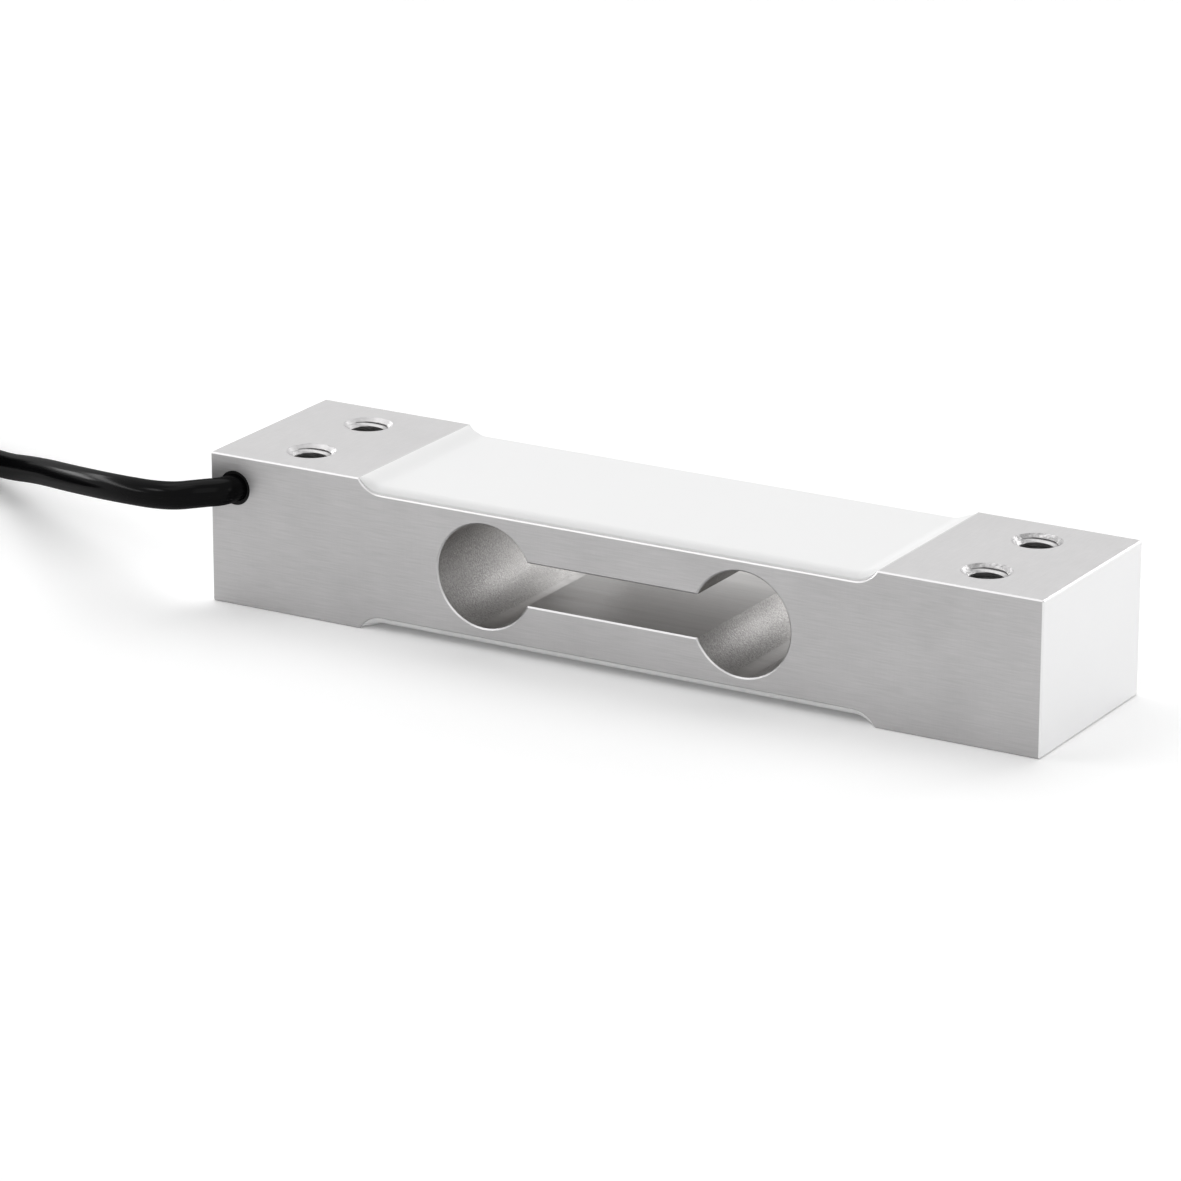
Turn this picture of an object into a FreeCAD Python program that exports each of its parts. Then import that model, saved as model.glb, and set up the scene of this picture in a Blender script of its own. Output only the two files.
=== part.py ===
import FreeCAD, Part
import math
import os
import Sketcher
from FreeCAD import Placement, Rotation, Vector

# Single point load cell: a one-piece aluminium beam with two round bores joined by a slot,
# strain gauges above and below each bore under white moulded covers, and a shielded cable.
# Millimetres. X runs along the beam from the cable end to the load end, Y across it, Z up.
# The origin is at the middle of the underside.

SIZES = {
    # the beam's outer form
    "beam_length": 130.0,
    "beam_width": 30.0,
    "beam_height": 22.0,
    "pad_length": 24.5,
    "recess_depth": 2.0,
    "recess_corner_radius": 4.0,
    "edge_break": 0.2,
    # the flexure cut through the beam
    "flexure_wall": 1.5,
    "bore_spacing": 40.3,
    "slot_height": 6.2,
    # four tapped mounting holes
    "mount_hole_from_end": 12.0,
    "mount_hole_pitch": 15.0,
    "thread_drill_diameter": 5.0,
    "thread_mouth_diameter": 7.0,
    # the cable's bore and the drilled ways for the wires
    "cable_bore_diameter": 5.0,
    "cable_bore_from_end": 4.0,
    "cable_bore_from_top": 4.7,
    "cable_bore_depth": 17.5,
    "wire_way_diameter": 3.2,
    "wire_way_exit_from_pad": 5.5,
    "link_way_diameter": 3.0,
    "link_way_from_pad": 6.5,
    # white moulded covers in the two recesses
    "cover_thickness": 1.1,
    "cover_edge_thickness": 0.45,
    "cover_dome_run": 3.0,
    "cover_inset": 0.25,
    "relief_height": 0.95,
    "relief_side_gap": 0.1,
    "relief_end_gap": 0.7,
    "relief_past_wire_way": 4.0,
    "cover_wrap_angle": 75.0,
    # strain gauges
    "gauge_length": 7.0,
    "gauge_width": 4.6,
    "gauge_carrier_thickness": 0.1,
    "grid_thickness": 0.03,
    "grid_strand_width": 0.14,
    "grid_strand_gap": 0.14,
    "grid_strand_pairs": 4.0,
    "grid_active_length": 3.2,
    "grid_loop_length": 0.25,
    "tab_gap": 0.2,
    "tab_length": 1.3,
    "tab_width": 1.1,
    # terminal boards and what is soldered to them
    "board_length": 13.0,
    "board_width": 12.0,
    "board_thickness": 0.3,
    "pad_thickness": 0.05,
    "solder_pad_length": 1.4,
    "solder_pad_width": 1.0,
    "solder_pad_inset": 0.4,
    "gauge_lane": 0.8,
    "inner_lane": 3.2,
    "outer_lane": 4.6,
    "resistor_length": 3.2,
    "resistor_width": 1.6,
    "resistor_height": 0.45,
    "resistor_cap_length": 0.5,
    "resistor_cap_width_step": 0.05,
    "resistor_cap_height_step": 0.05,
    "resistor_lane": 3.9,
    "solder_length": 1.0,
    "solder_width": 0.8,
    "solder_height": 0.45,
    "solder_top_share": 0.5,
    # wires
    "ribbon_width": 0.3,
    "ribbon_thickness": 0.08,
    "link_wire_diameter": 0.3,
    "link_wire_pitch": 0.55,
    "link_gather_run": 2.2,
    "core_diameter": 0.7,
    "core_pitch": 0.76,
    "core_bend_radius": 1.8,
    "core_spread_run": 7.0,
    "core_spread_bend": 3.0,
    "core_end_gap": 0.7,
    "conductor_diameter": 0.3,
    "wire_lift": 0.03,
    "wire_sides": 6.0,
    # the cable and what holds it in its bore
    "cable_diameter": 4.0,
    "jacket_in_bore": 2.8,
    "seal_length": 2.6,
    "seal_setback": 0.1,
    "shield_clearance": 0.03,
    "shield_wall": 0.18,
    "shield_length": 4.2,
    "crimp_wall": 0.5,
    "crimp_length": 2.6,
    "crimp_from_jacket": 0.6,
    "potting_length": 4.0,
    # the coil of cable that lies beside the beam, and the cable's stripped end
    "coil_diameter": 40.0,
    "coil_angle": 788.0,
    "coil_first_layer_angle": 320.0,
    "coil_climb_angle": 10.0,
    "sleeve_length": 10.0,
    "sleeve_on_jacket": 6.0,
    "sleeve_wall": 0.35,
    "core_place_in_jacket": 0.6,
    "lead_length": 16.0,
    "lead_pitch": 2.6,
    "lead_straight": 1.0,
    "lead_fan_run": 7.0,
    "lead_fan_share": 0.7,
    "lead_above_floor": 0.05,
    "tinned_length": 4.0,
    "drain_wire_diameter": 0.6,
}

# The free cable's route from the bore down to the surface that the beam stands on: distance
# along X from the bore's axis, distance out of the near face, and height as a share of the
# bore's own height above the resting cable. The last point is where the coil begins.
CABLE_ROUTE = [
    (0.0, 1.8, 1.0),
    (-2.4, 4.2, 1.0),
    (-7.4, 6.0, 0.94),
    (-18.1, 3.1, 0.863),
    (-37.0, -10.0, 0.556),
    (-59.5, -26.5, 0.0),
    (-76.4, -37.1, 0.0),
]

# The cable's tail from the top of the coil back to the surface: distance along, and height.
TAIL_ROUTE = [
    (0.0, 10.2),
    (16.0, 10.2),
    (30.0, 2.4),
    (42.0, 2.4),
]

RUN_SHARE = 0.45

doc = FreeCAD.newDocument("LoadCell")
sheet = doc.addObject("Spreadsheet::Sheet", "Sizes")
for row, (alias, value) in enumerate(SIZES.items(), start=1):
    sheet.set("A{}".format(row), alias)
    sheet.set("B{}".format(row), str(value))
    sheet.setAlias("B{}".format(row), alias)
doc.recompute()


def size(alias):
    return float(getattr(sheet, alias))


def vec(x, y, z):
    return Vector(x, y, z)


def bind(item, bindings):
    for path, expression in bindings.items():
        item.setExpression(path, expression)


# Sketches

def new_body(name):
    body = doc.addObject("PartDesign::Body", name)
    body.Label = name
    return body


def origin_plane(body, role):
    for feature in body.Origin.OriginFeatures:
        if feature.Role == role:
            return feature
    raise ValueError(role)


def new_sketch(body, name, role):
    sketch = body.newObject("Sketcher::SketchObject", name)
    sketch.AttachmentSupport = [(origin_plane(body, role), "")]
    sketch.MapMode = "FlatFace"
    return sketch


def hold(sketch, kind, edge, point, expression):
    number = sketch.addConstraint(Sketcher.Constraint(kind, -1, 1, edge, point, number_of(expression)))
    sketch.setExpression("Constraints[{}]".format(number), expression)


def hold_point(sketch, edge, point, place):
    across, upward = place
    if across == "0":
        sketch.addConstraint(Sketcher.Constraint("PointOnObject", edge, point, -2))
    else:
        hold(sketch, "DistanceX", edge, point, across)
    if upward == "0":
        sketch.addConstraint(Sketcher.Constraint("PointOnObject", edge, point, -1))
    else:
        hold(sketch, "DistanceY", edge, point, upward)


def number_of(expression):
    doc_cell = sheet.evalExpression(expression.replace("Sizes.", ""))
    return float(getattr(doc_cell, "Value", doc_cell))


def outline(sketch, corners, arcs=None):
    """Closed outline: corners are pairs of expressions, arcs name a radius for the edge after a corner."""
    arcs = arcs or {}
    places = [vec(number_of(across), number_of(upward), 0) for across, upward in corners]
    count = len(corners)
    edges = []
    for index in range(count):
        start = places[index]
        end = places[(index + 1) % count]
        if index in arcs:
            radius, bulge = arcs[index]
            edges.append(sketch.addGeometry(arc_between(start, end, number_of(radius), bulge), False))
        else:
            edges.append(sketch.addGeometry(Part.LineSegment(start, end), False))
    tips = []
    for index in range(count):
        flipped = index in arcs and arcs[index][1] < 0
        tips.append((2, 1) if flipped else (1, 2))
    for index in range(count):
        following = (index + 1) % count
        sketch.addConstraint(Sketcher.Constraint(
            "Coincident", edges[index], tips[index][1], edges[following], tips[following][0]))
        hold_point(sketch, edges[index], tips[index][0], corners[index])
    for index, (radius, bulge) in arcs.items():
        number = sketch.addConstraint(Sketcher.Constraint("Radius", edges[index], number_of(radius)))
        sketch.setExpression("Constraints[{}]".format(number), radius)
    return edges


def arc_between(start, end, radius, bulge):
    """Arc of less than half a turn. A positive bulge turns left on the way from start to end."""
    chord = end - start
    half = chord.Length / 2
    side = vec(-chord.y, chord.x, 0).normalize() * bulge
    centre = (start + end) * 0.5 + side * math.sqrt(radius ** 2 - half ** 2)
    first = math.atan2(start.y - centre.y, start.x - centre.x)
    last = math.atan2(end.y - centre.y, end.x - centre.x)
    circle = Part.Circle(centre, vec(0, 0, 1), radius)
    if bulge > 0:
        return Part.ArcOfCircle(circle, first, last)
    return Part.ArcOfCircle(circle, last, first)


def round_holes(sketch, centres, diameter):
    for across, upward in centres:
        place = vec(number_of(across), number_of(upward), 0)
        circle = sketch.addGeometry(Part.Circle(place, vec(0, 0, 1), number_of(diameter) / 2), False)
        hold_point(sketch, circle, 3, (across, upward))
        number = sketch.addConstraint(Sketcher.Constraint("Diameter", circle, number_of(diameter)))
        sketch.setExpression("Constraints[{}]".format(number), diameter)


def cut_through(body, sketch, name):
    pocket = body.newObject("PartDesign::Pocket", name)
    pocket.Profile = sketch
    pocket.Type = "ThroughAll"
    pocket.SideType = "Symmetric"
    return pocket


def mirror(body, feature, role, name):
    mirrored = body.newObject("PartDesign::Mirrored", name)
    mirrored.Originals = [feature]
    mirrored.MirrorPlane = (origin_plane(body, role), [""])
    body.Tip = mirrored
    return mirrored


def solid_volume(body):
    doc.recompute()
    return body.Shape.Volume


def must_shrink(body, before, what):
    after = solid_volume(body)
    if not after < before - 1e-6:
        raise RuntimeError("{} removes nothing".format(what))
    return after


# Plain solids bound to the sheet

def box(name, length, width, height, centre_x, centre_y, bottom):
    item = doc.addObject("Part::Box", name)
    bind(item, {
        "Length": length,
        "Width": width,
        "Height": height,
        "Placement.Base.x": "({}) - ({}) / 2".format(centre_x, length),
        "Placement.Base.y": "({}) - ({}) / 2".format(centre_y, width),
        "Placement.Base.z": bottom,
    })
    return item


def bore_ring(name, outer, inner, near_end, length):
    """Ring on the cable bore's axis. near_end is how far its outer end lies inside the near face."""
    item = doc.addObject("Part::Cut", name)
    item.Base = bore_rod(name + "_outside", outer, near_end, length)
    item.Tool = bore_rod(name + "_inside", inner, near_end, length)
    return item


def bore_rod(name, diameter, near_end, length):
    item = doc.addObject("Part::Cylinder", name)
    item.Placement = Placement(Vector(), Rotation(Vector(1, 0, 0), -90))
    bind(item, {
        "Radius": "({}) / 2".format(diameter),
        "Height": length,
        "Placement.Base.x": "-Sizes.beam_length / 2 + Sizes.cable_bore_from_end",
        "Placement.Base.y": "-Sizes.beam_width / 2 + ({})".format(near_end),
        "Placement.Base.z": "Sizes.beam_height - Sizes.cable_bore_from_top",
    })
    return item


def group(name, members):
    item = doc.addObject("Part::Compound", name)
    item.Links = members
    return item


def computed(name, shape):
    item = doc.addObject("Part::Feature", name)
    item.Shape = shape
    return item


# Runs of wire and cable

def bend_radii(points, share=RUN_SHARE):
    """Radii as wide as the runs allow, up to half the coil's own radius."""
    radii = []
    for before, here, after in zip(points, points[1:], points[2:]):
        first = here - before
        second = after - here
        turn = first.getAngle(second)
        radius = share * min(first.Length, second.Length) / math.tan(turn / 2)
        radii.append(min(radius, size("coil_diameter") / 4))
    return radii


def rounded_path(points, radii):
    """Straight runs joined by tangent arcs, one radius for each inner point."""
    edges = []
    start = points[0]
    for index, radius in enumerate(radii, start=1):
        corner = points[index]
        arriving = (corner - points[index - 1]).normalize()
        leaving = (points[index + 1] - corner).normalize()
        turn = arriving.getAngle(leaving)
        reach = radius * math.tan(turn / 2)
        first = corner - arriving * reach
        last = corner + leaving * reach
        inward = (leaving - arriving).normalize()
        middle = corner + inward * (radius / math.cos(turn / 2) - radius)
        if (first - start).Length > 1e-6:
            edges.append(Part.LineSegment(start, first).toShape())
        edges.append(Part.Arc(first, middle, last).toShape())
        start = last
    edges.append(Part.LineSegment(start, points[-1]).toShape())
    return Part.Wire(edges)


def sweep(points, radii, section, name):
    path = rounded_path(points, radii) if radii is not None else Part.makePolygon(points)
    shape = path.makePipeShell([section], True, False, 1)
    if shape.ShapeType != "Solid":
        shape = Part.Solid(shape.Shells[0])
    expected = path.Length * Part.Face(section).Area
    if abs(shape.Volume / expected - 1) > 0.01:
        raise RuntimeError("{} has volume {:.2f}, not {:.2f}".format(name, shape.Volume, expected))
    return shape


def tube(points, radii, diameter, name):
    section = Part.Wire(Part.makeCircle(diameter / 2, points[0], points[1] - points[0]))
    return sweep(points, radii, section, name)


def thin_wire(points, radii, diameter, name):
    """Wire too thin to need a round section: its section is a polygon inside the wire's circle."""
    sides = int(round(size("wire_sides")))
    turned = Rotation(vec(0, 0, 1), points[1] - points[0])
    corners = []
    for number in range(sides + 1):
        angle = 2 * math.pi * number / sides
        spoke = vec(math.cos(angle), math.sin(angle), 0) * (diameter / 2)
        corners.append(points[0] + turned.multVec(spoke))
    corners[-1] = corners[0]
    return sweep(points, radii, Part.makePolygon(corners), name)


def ribbon(start, end, width, thickness, name):
    """Flat strip between two places in one XZ plane."""
    across = vec(0, width / 2, 0)
    upward = (end - start).cross(across).normalize() * (thickness / 2)
    return sweep([start, end], [], rectangle(start, across, upward), name)


def rectangle(middle, across, upward):
    return Part.makePolygon([
        middle - across - upward,
        middle + across - upward,
        middle + across + upward,
        middle - across + upward,
        middle - across - upward,
    ])


# Places that several pieces share

RECESS_FLOOR = "(Sizes.beam_height - Sizes.recess_depth)"
RECESS_RUN = "sqrt(2 * Sizes.recess_corner_radius * Sizes.recess_depth - Sizes.recess_depth ^ 2)"
RECESS_END = "(Sizes.beam_length / 2 - Sizes.pad_length)"
BOARD_TOP = "(Sizes.board_thickness + Sizes.pad_thickness)"

half_length = size("beam_length") / 2
half_width = size("beam_width") / 2
recess_end = half_length - size("pad_length")
recess_floor = size("beam_height") - size("recess_depth")
board_top = size("board_thickness") + size("pad_thickness")
cable_x = -half_length + size("cable_bore_from_end")
cable_z = size("beam_height") - size("cable_bore_from_top")
wire_way_exit_x = -(recess_end - size("wire_way_exit_from_pad"))
link_way_x = recess_end - size("link_way_from_pad")
lane_height = board_top + size("wire_lift") + size("conductor_diameter") / 2
board_edge = size("board_length") / 2
solder_column = board_edge - size("solder_pad_inset") - size("solder_pad_length") / 2
board_lanes = [-size("outer_lane"), -size("inner_lane"), size("inner_lane"), size("outer_lane")]
gauge_lanes = [-size("gauge_lane"), size("gauge_lane")]


# The beam: milled block, recesses, flexure cut, tapped holes and drilled ways

def make_beam():
    body = new_body("beam_body")
    bind(body, {"Placement.Base.z": "Sizes.beam_height / 2"})
    half_x = "Sizes.beam_length / 2"
    half_z = "Sizes.beam_height / 2"

    side = new_sketch(body, "beam_side", "XZ_Plane")
    outline(side, [
        ("-" + half_x, "-" + half_z),
        (half_x, "-" + half_z),
        (half_x, half_z),
        ("-" + half_x, half_z),
    ])
    block = body.newObject("PartDesign::Pad", "beam_block")
    block.Profile = side
    block.SideType = "Symmetric"
    bind(block, {"Length": "Sizes.beam_width"})
    volume = solid_volume(body)

    recess = new_sketch(body, "recess_outline", "XZ_Plane")
    floor = "Sizes.beam_height / 2 - Sizes.recess_depth"
    foot = "{} - {}".format(RECESS_END, RECESS_RUN)
    outline(recess, [
        ("-" + RECESS_END, half_z),
        ("-({})".format(foot), floor),
        (foot, floor),
        (RECESS_END, half_z),
    ], {0: ("Sizes.recess_corner_radius", 1), 2: ("Sizes.recess_corner_radius", 1)})
    top_recess = cut_through(body, recess, "top_recess")
    volume = must_shrink(body, volume, "top recess")
    mirror(body, top_recess, "XY_Plane", "bottom_recess")
    volume = must_shrink(body, volume, "bottom recess")

    bores = new_sketch(body, "bore_circles", "XZ_Plane")
    round_holes(bores, [
        ("-Sizes.bore_spacing / 2", "0"),
        ("Sizes.bore_spacing / 2", "0"),
    ], "Sizes.beam_height - 2 * Sizes.recess_depth - 2 * Sizes.flexure_wall")
    cut_through(body, bores, "flexure_bores")
    volume = must_shrink(body, volume, "bores")

    slot = new_sketch(body, "slot_outline", "XZ_Plane")
    outline(slot, [
        ("-Sizes.bore_spacing / 2", "-Sizes.slot_height / 2"),
        ("Sizes.bore_spacing / 2", "-Sizes.slot_height / 2"),
        ("Sizes.bore_spacing / 2", "Sizes.slot_height / 2"),
        ("-Sizes.bore_spacing / 2", "Sizes.slot_height / 2"),
    ])
    cut_through(body, slot, "flexure_slot")
    volume = must_shrink(body, volume, "slot")

    hole_x = "(Sizes.beam_length / 2 - Sizes.mount_hole_from_end)"
    hole_y = "Sizes.mount_hole_pitch / 2"
    centres = new_sketch(body, "mount_hole_centres", "XY_Plane")
    bind(centres, {"AttachmentOffset.Base.z": half_z})
    round_holes(centres, [
        ("-" + hole_x, "-" + hole_y),
        ("-" + hole_x, hole_y),
        (hole_x, "-" + hole_y),
        (hole_x, hole_y),
    ], "Sizes.thread_drill_diameter")
    doc.recompute()
    tapped = body.newObject("PartDesign::Hole", "mount_holes")
    tapped.Profile = centres
    tapped.DepthType = "Dimension"
    tapped.DrillPoint = "Flat"
    tapped.HoleCutType = "Countersink"
    tapped.HoleCutCustomValues = True
    tapped.HoleCutCountersinkAngle = 90
    bind(tapped, {
        "Diameter": "Sizes.thread_drill_diameter",
        "Depth": half_z,
        "HoleCutDiameter": "Sizes.thread_mouth_diameter",
    })
    volume = must_shrink(body, volume, "mounting holes")
    mirror(body, tapped, "XY_Plane", "mount_holes_below")
    volume = must_shrink(body, volume, "mounting holes below")

    cable_hole = new_sketch(body, "cable_bore_circle", "XZ_Plane")
    bind(cable_hole, {"AttachmentOffset.Base.z": "Sizes.beam_width / 2"})
    bore_x = "-Sizes.beam_length / 2 + Sizes.cable_bore_from_end"
    bore_z = "Sizes.beam_height / 2 - Sizes.cable_bore_from_top"
    round_holes(cable_hole, [(bore_x, bore_z)], "Sizes.cable_bore_diameter")
    cable_bore = body.newObject("PartDesign::Pocket", "cable_bore")
    cable_bore.Profile = cable_hole
    bind(cable_bore, {"Length": "Sizes.cable_bore_depth"})
    volume = must_shrink(body, volume, "cable bore")

    volume = drill_wire_way(body, volume)

    link_hole = new_sketch(body, "link_way_circle", "XY_Plane")
    round_holes(link_hole, [
        (RECESS_END + " - Sizes.link_way_from_pad", "0"),
    ], "Sizes.link_way_diameter")
    cut_through(body, link_hole, "link_way")
    volume = must_shrink(body, volume, "link way")

    break_edges(body, volume)
    return body


def drill_wire_way(body, volume):
    """Slanted hole from the top recess into the end of the cable bore, turned about its own axis."""
    run = wire_way_exit_x - cable_x
    rise = recess_floor + lane_height - cable_z
    slope = math.degrees(math.atan2(rise, run))
    sketch = new_sketch(body, "wire_way_half", "XZ_Plane")
    sketch.AttachmentOffset = Placement(
        vec(cable_x, cable_z - size("beam_height") / 2, 0), Rotation(vec(0, 0, 1), slope))
    length = "sqrt({}^2 + {}^2)".format(run, rise)
    outline(sketch, [
        ("0", "0"),
        (length, "0"),
        (length, "Sizes.wire_way_diameter / 2"),
        ("0", "Sizes.wire_way_diameter / 2"),
    ])
    groove = body.newObject("PartDesign::Groove", "wire_way")
    groove.Profile = sketch
    groove.ReferenceAxis = (sketch, ["H_Axis"])
    groove.Angle = 360
    return must_shrink(body, volume, "wire way")


def break_edges(body, volume):
    """Small bevel on every outside edge of the near and far faces, the end faces and the pads."""
    base = body.Tip
    bore_z = cable_z - size("beam_height") / 2
    names = []
    for number, edge in enumerate(base.Shape.Edges, start=1):
        middle = edge.valueAt((edge.FirstParameter + edge.LastParameter) / 2)
        centre = edge.CenterOfGravity
        on_side = abs(abs(middle.y) - half_width) < 1e-4 and abs(abs(centre.y) - half_width) < 1e-4
        on_end = abs(abs(middle.x) - half_length) < 1e-4
        at_cable = on_side and math.hypot(centre.x - cable_x, centre.z - bore_z) < 0.01
        if (on_side or on_end) and not at_cable:
            names.append("Edge{}".format(number))
    chamfer = body.newObject("PartDesign::Chamfer", "edge_breaks")
    chamfer.Base = (base, names)
    bind(chamfer, {"Size": "Sizes.edge_break"})
    body.Tip = chamfer
    must_shrink(body, volume, "edge breaks")


# What lies on the floor of a recess is built above that floor and then set down on it.

def on_floor(name, members, side):
    item = group(name, members)
    if side == "top":
        bind(item, {"Placement.Base.z": RECESS_FLOOR})
    else:
        item.Placement = Placement(Vector(), Rotation(vec(1, 0, 0), 180))
        bind(item, {"Placement.Base.z": "Sizes.recess_depth"})
    return item


def on_floor_box(name, length, width, height, centre_x, centre_y, bottom, side):
    return on_floor(name, [box(name + "_form", length, width, height, centre_x, centre_y, bottom)], side)


def make_cover(name, side):
    """Moulded skin that follows the recess floor and its curved ends, thinner at its long edges."""
    body = new_body(name)
    if side == "bottom":
        body.Placement = Placement(Vector(), Rotation(vec(1, 0, 0), 180))
    bind(body, {"Placement.Base.z": RECESS_FLOOR if side == "top" else "Sizes.recess_depth"})
    edge = "(Sizes.beam_width / 2 - Sizes.cover_inset)"
    crown = "({} - Sizes.cover_dome_run)".format(edge)
    rise = "(Sizes.cover_thickness - Sizes.cover_edge_thickness)"
    dome = "(Sizes.cover_dome_run ^ 2 + {0} ^ 2) / (2 * {0})".format(rise)
    section = new_sketch(body, name + "_section", "YZ_Plane")
    outline(section, [
        ("-" + edge, "0"),
        (edge, "0"),
        (edge, "Sizes.cover_edge_thickness"),
        (crown, "Sizes.cover_thickness"),
        ("-" + crown, "Sizes.cover_thickness"),
        ("-" + edge, "Sizes.cover_edge_thickness"),
    ], {2: (dome, 1), 4: (dome, 1)})
    foot = "({} - {})".format(RECESS_END, RECESS_RUN)
    path = new_sketch(body, name + "_path", "XZ_Plane")
    floor_path(path, foot)
    doc.recompute()
    skin = body.newObject("PartDesign::AdditivePipe", name + "_sweep")
    skin.Profile = section
    skin.Spine = path
    doc.recompute()
    mirror(body, skin, "YZ_Plane", name + "_other_half")
    trim = new_sketch(body, name + "_trim_outline", "XZ_Plane")
    reach = "(Sizes.beam_length / 2)"
    outline(trim, [
        ("-" + reach, "Sizes.recess_depth"),
        (reach, "Sizes.recess_depth"),
        (reach, "Sizes.recess_depth + 2 * Sizes.recess_corner_radius"),
        ("-" + reach, "Sizes.recess_depth + 2 * Sizes.recess_corner_radius"),
    ])
    volume = solid_volume(body)
    cut_through(body, trim, name + "_trim")
    volume = must_shrink(body, volume, name + " trim")
    cut_relief(body, name, side)
    must_shrink(body, volume, name + " relief")
    return body


def cut_relief(body, name, side):
    """Room under the skin for the gauges, the board, the solder and the wires."""
    gauge_margin = "(Sizes.gauge_length - Sizes.grid_active_length - Sizes.tab_gap - Sizes.tab_length) / 2"
    gauge_end = "Sizes.bore_spacing / 2 + Sizes.grid_active_length / 2 + {}".format(gauge_margin)
    left = {
        "top": "-({} - Sizes.wire_way_exit_from_pad) - Sizes.relief_past_wire_way".format(RECESS_END),
        "bottom": "-({}) - Sizes.relief_end_gap".format(gauge_end),
    }[side]
    link_edge = "Sizes.link_way_from_pad - Sizes.link_way_diameter / 2"
    right = "{} - ({}) + Sizes.relief_end_gap".format(RECESS_END, link_edge)
    far = "Sizes.board_width / 2 + Sizes.relief_side_gap"
    near = "-({})".format(far)
    room = new_sketch(body, name + "_relief_outline", "XY_Plane")
    outline(room, [(left, near), (right, near), (right, far), (left, far)])
    relief = body.newObject("PartDesign::Pocket", name + "_relief")
    relief.Profile = room
    relief.Reversed = True
    bind(relief, {"Length": "Sizes.relief_height"})


def floor_path(sketch, foot):
    """Half the recess floor, then its end curve carried on past the pad."""
    lift = "Sizes.recess_corner_radius * (1 - cos(Sizes.cover_wrap_angle))"
    reach = foot + " + Sizes.recess_corner_radius * sin(Sizes.cover_wrap_angle)"
    start = vec(0, 0, 0)
    turn = vec(number_of(foot), 0, 0)
    end = vec(number_of(reach), number_of(lift), 0)
    line = sketch.addGeometry(Part.LineSegment(start, turn), False)
    curve = sketch.addGeometry(arc_between(turn, end, size("recess_corner_radius"), 1), False)
    sketch.addConstraint(Sketcher.Constraint("Coincident", line, 1, -1, 1))
    sketch.addConstraint(Sketcher.Constraint("Coincident", line, 2, curve, 1))
    hold_point(sketch, curve, 1, (foot, "0"))
    hold_point(sketch, curve, 2, (reach, lift))
    number = sketch.addConstraint(Sketcher.Constraint("Radius", curve, size("recess_corner_radius")))
    sketch.setExpression("Constraints[{}]".format(number), "Sizes.recess_corner_radius")


# Strain gauges

def grid_shape():
    """Folded strip of foil with a solder tab at each end, the measuring part centred on the origin."""
    pairs = int(round(size("grid_strand_pairs")))
    count = 2 * pairs
    strand = size("grid_strand_width")
    pitch = strand + size("grid_strand_gap")
    thick = size("grid_thickness")
    half = size("grid_active_length") / 2
    loop = size("grid_loop_length")
    rows = [(index - (count - 1) / 2) * pitch for index in range(count)]
    strips = []
    for index, row in enumerate(rows):
        outer = index in (0, count - 1)
        start = -half - size("tab_gap") if outer else -half
        strips.append(Part.makeBox(half - start, strand, thick, vec(start, row - strand / 2, 0)))
    for index in range(count - 1):
        start = half - loop if index % 2 == 0 else -half
        strips.append(Part.makeBox(loop, pitch + strand, thick, vec(start, rows[index] - strand / 2, 0)))
    tab_start = -half - size("tab_gap") - size("tab_length")
    for lane in gauge_lanes:
        corner = vec(tab_start, lane - size("tab_width") / 2, 0)
        strips.append(Part.makeBox(size("tab_length"), size("tab_width"), thick, corner))
    return strips[0].fuse(strips[1:]).removeSplitter()


def make_gauges():
    foil = grid_shape()
    half = size("grid_active_length") / 2
    assembly = size("grid_active_length") + size("tab_gap") + size("tab_length")
    margin = (size("gauge_length") - assembly) / 2
    offset = half + margin - size("gauge_length") / 2
    gauges = []
    for side in ("top", "bottom"):
        for end, way in (("left", -1), ("right", 1)):
            name = "gauge_{}_{}".format(side, end)
            carrier = on_floor_box(
                "{}_carrier".format(name), "Sizes.gauge_length", "Sizes.gauge_width",
                "Sizes.gauge_carrier_thickness",
                "{} * (Sizes.bore_spacing / 2 + {})".format(way, offset), "0", "0", side)
            turned = foil.copy()
            if way < 0:
                turned.rotate(vec(0, 0, 0), vec(0, 0, 1), 180)
            turned.translate(vec(way * size("bore_spacing") / 2, 0, size("gauge_carrier_thickness")))
            grid = on_floor("{}_grid".format(name), [computed(name + "_foil", turned)], side)
            gauges += [carrier, grid]
    return gauges


# Terminal boards

def board_places(side):
    """Solder pads as pairs of column direction and lane."""
    columns = {
        "top": {-1: board_lanes + gauge_lanes, 1: board_lanes + gauge_lanes},
        "bottom": {-1: gauge_lanes, 1: board_lanes + gauge_lanes},
    }[side]
    return [(way, lane) for way in (-1, 1) for lane in sorted(columns[way])]


def make_board(side):
    board = on_floor_box(
        "{}_terminal_board".format(side), "Sizes.board_length", "Sizes.board_width",
        "Sizes.board_thickness", "0", "0", "0", side)
    pads = []
    column = "(Sizes.board_length / 2 - Sizes.solder_pad_inset - Sizes.solder_pad_length / 2)"
    for number, (way, lane) in enumerate(board_places(side)):
        pads.append(box(
            "{}_pad_{}".format(side, number), "Sizes.solder_pad_length", "Sizes.solder_pad_width",
            "Sizes.pad_thickness", "{} * {}".format(way, column), lane_expression(lane),
            "Sizes.board_thickness"))
    return [board, on_floor("{}_solder_pads".format(side), pads, side)]


def lane_expression(lane):
    for alias in ("gauge_lane", "inner_lane", "outer_lane"):
        if abs(abs(lane) - size(alias)) < 1e-9:
            return "{}Sizes.{}".format("-" if lane < 0 else "", alias)
    raise ValueError(lane)


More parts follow.
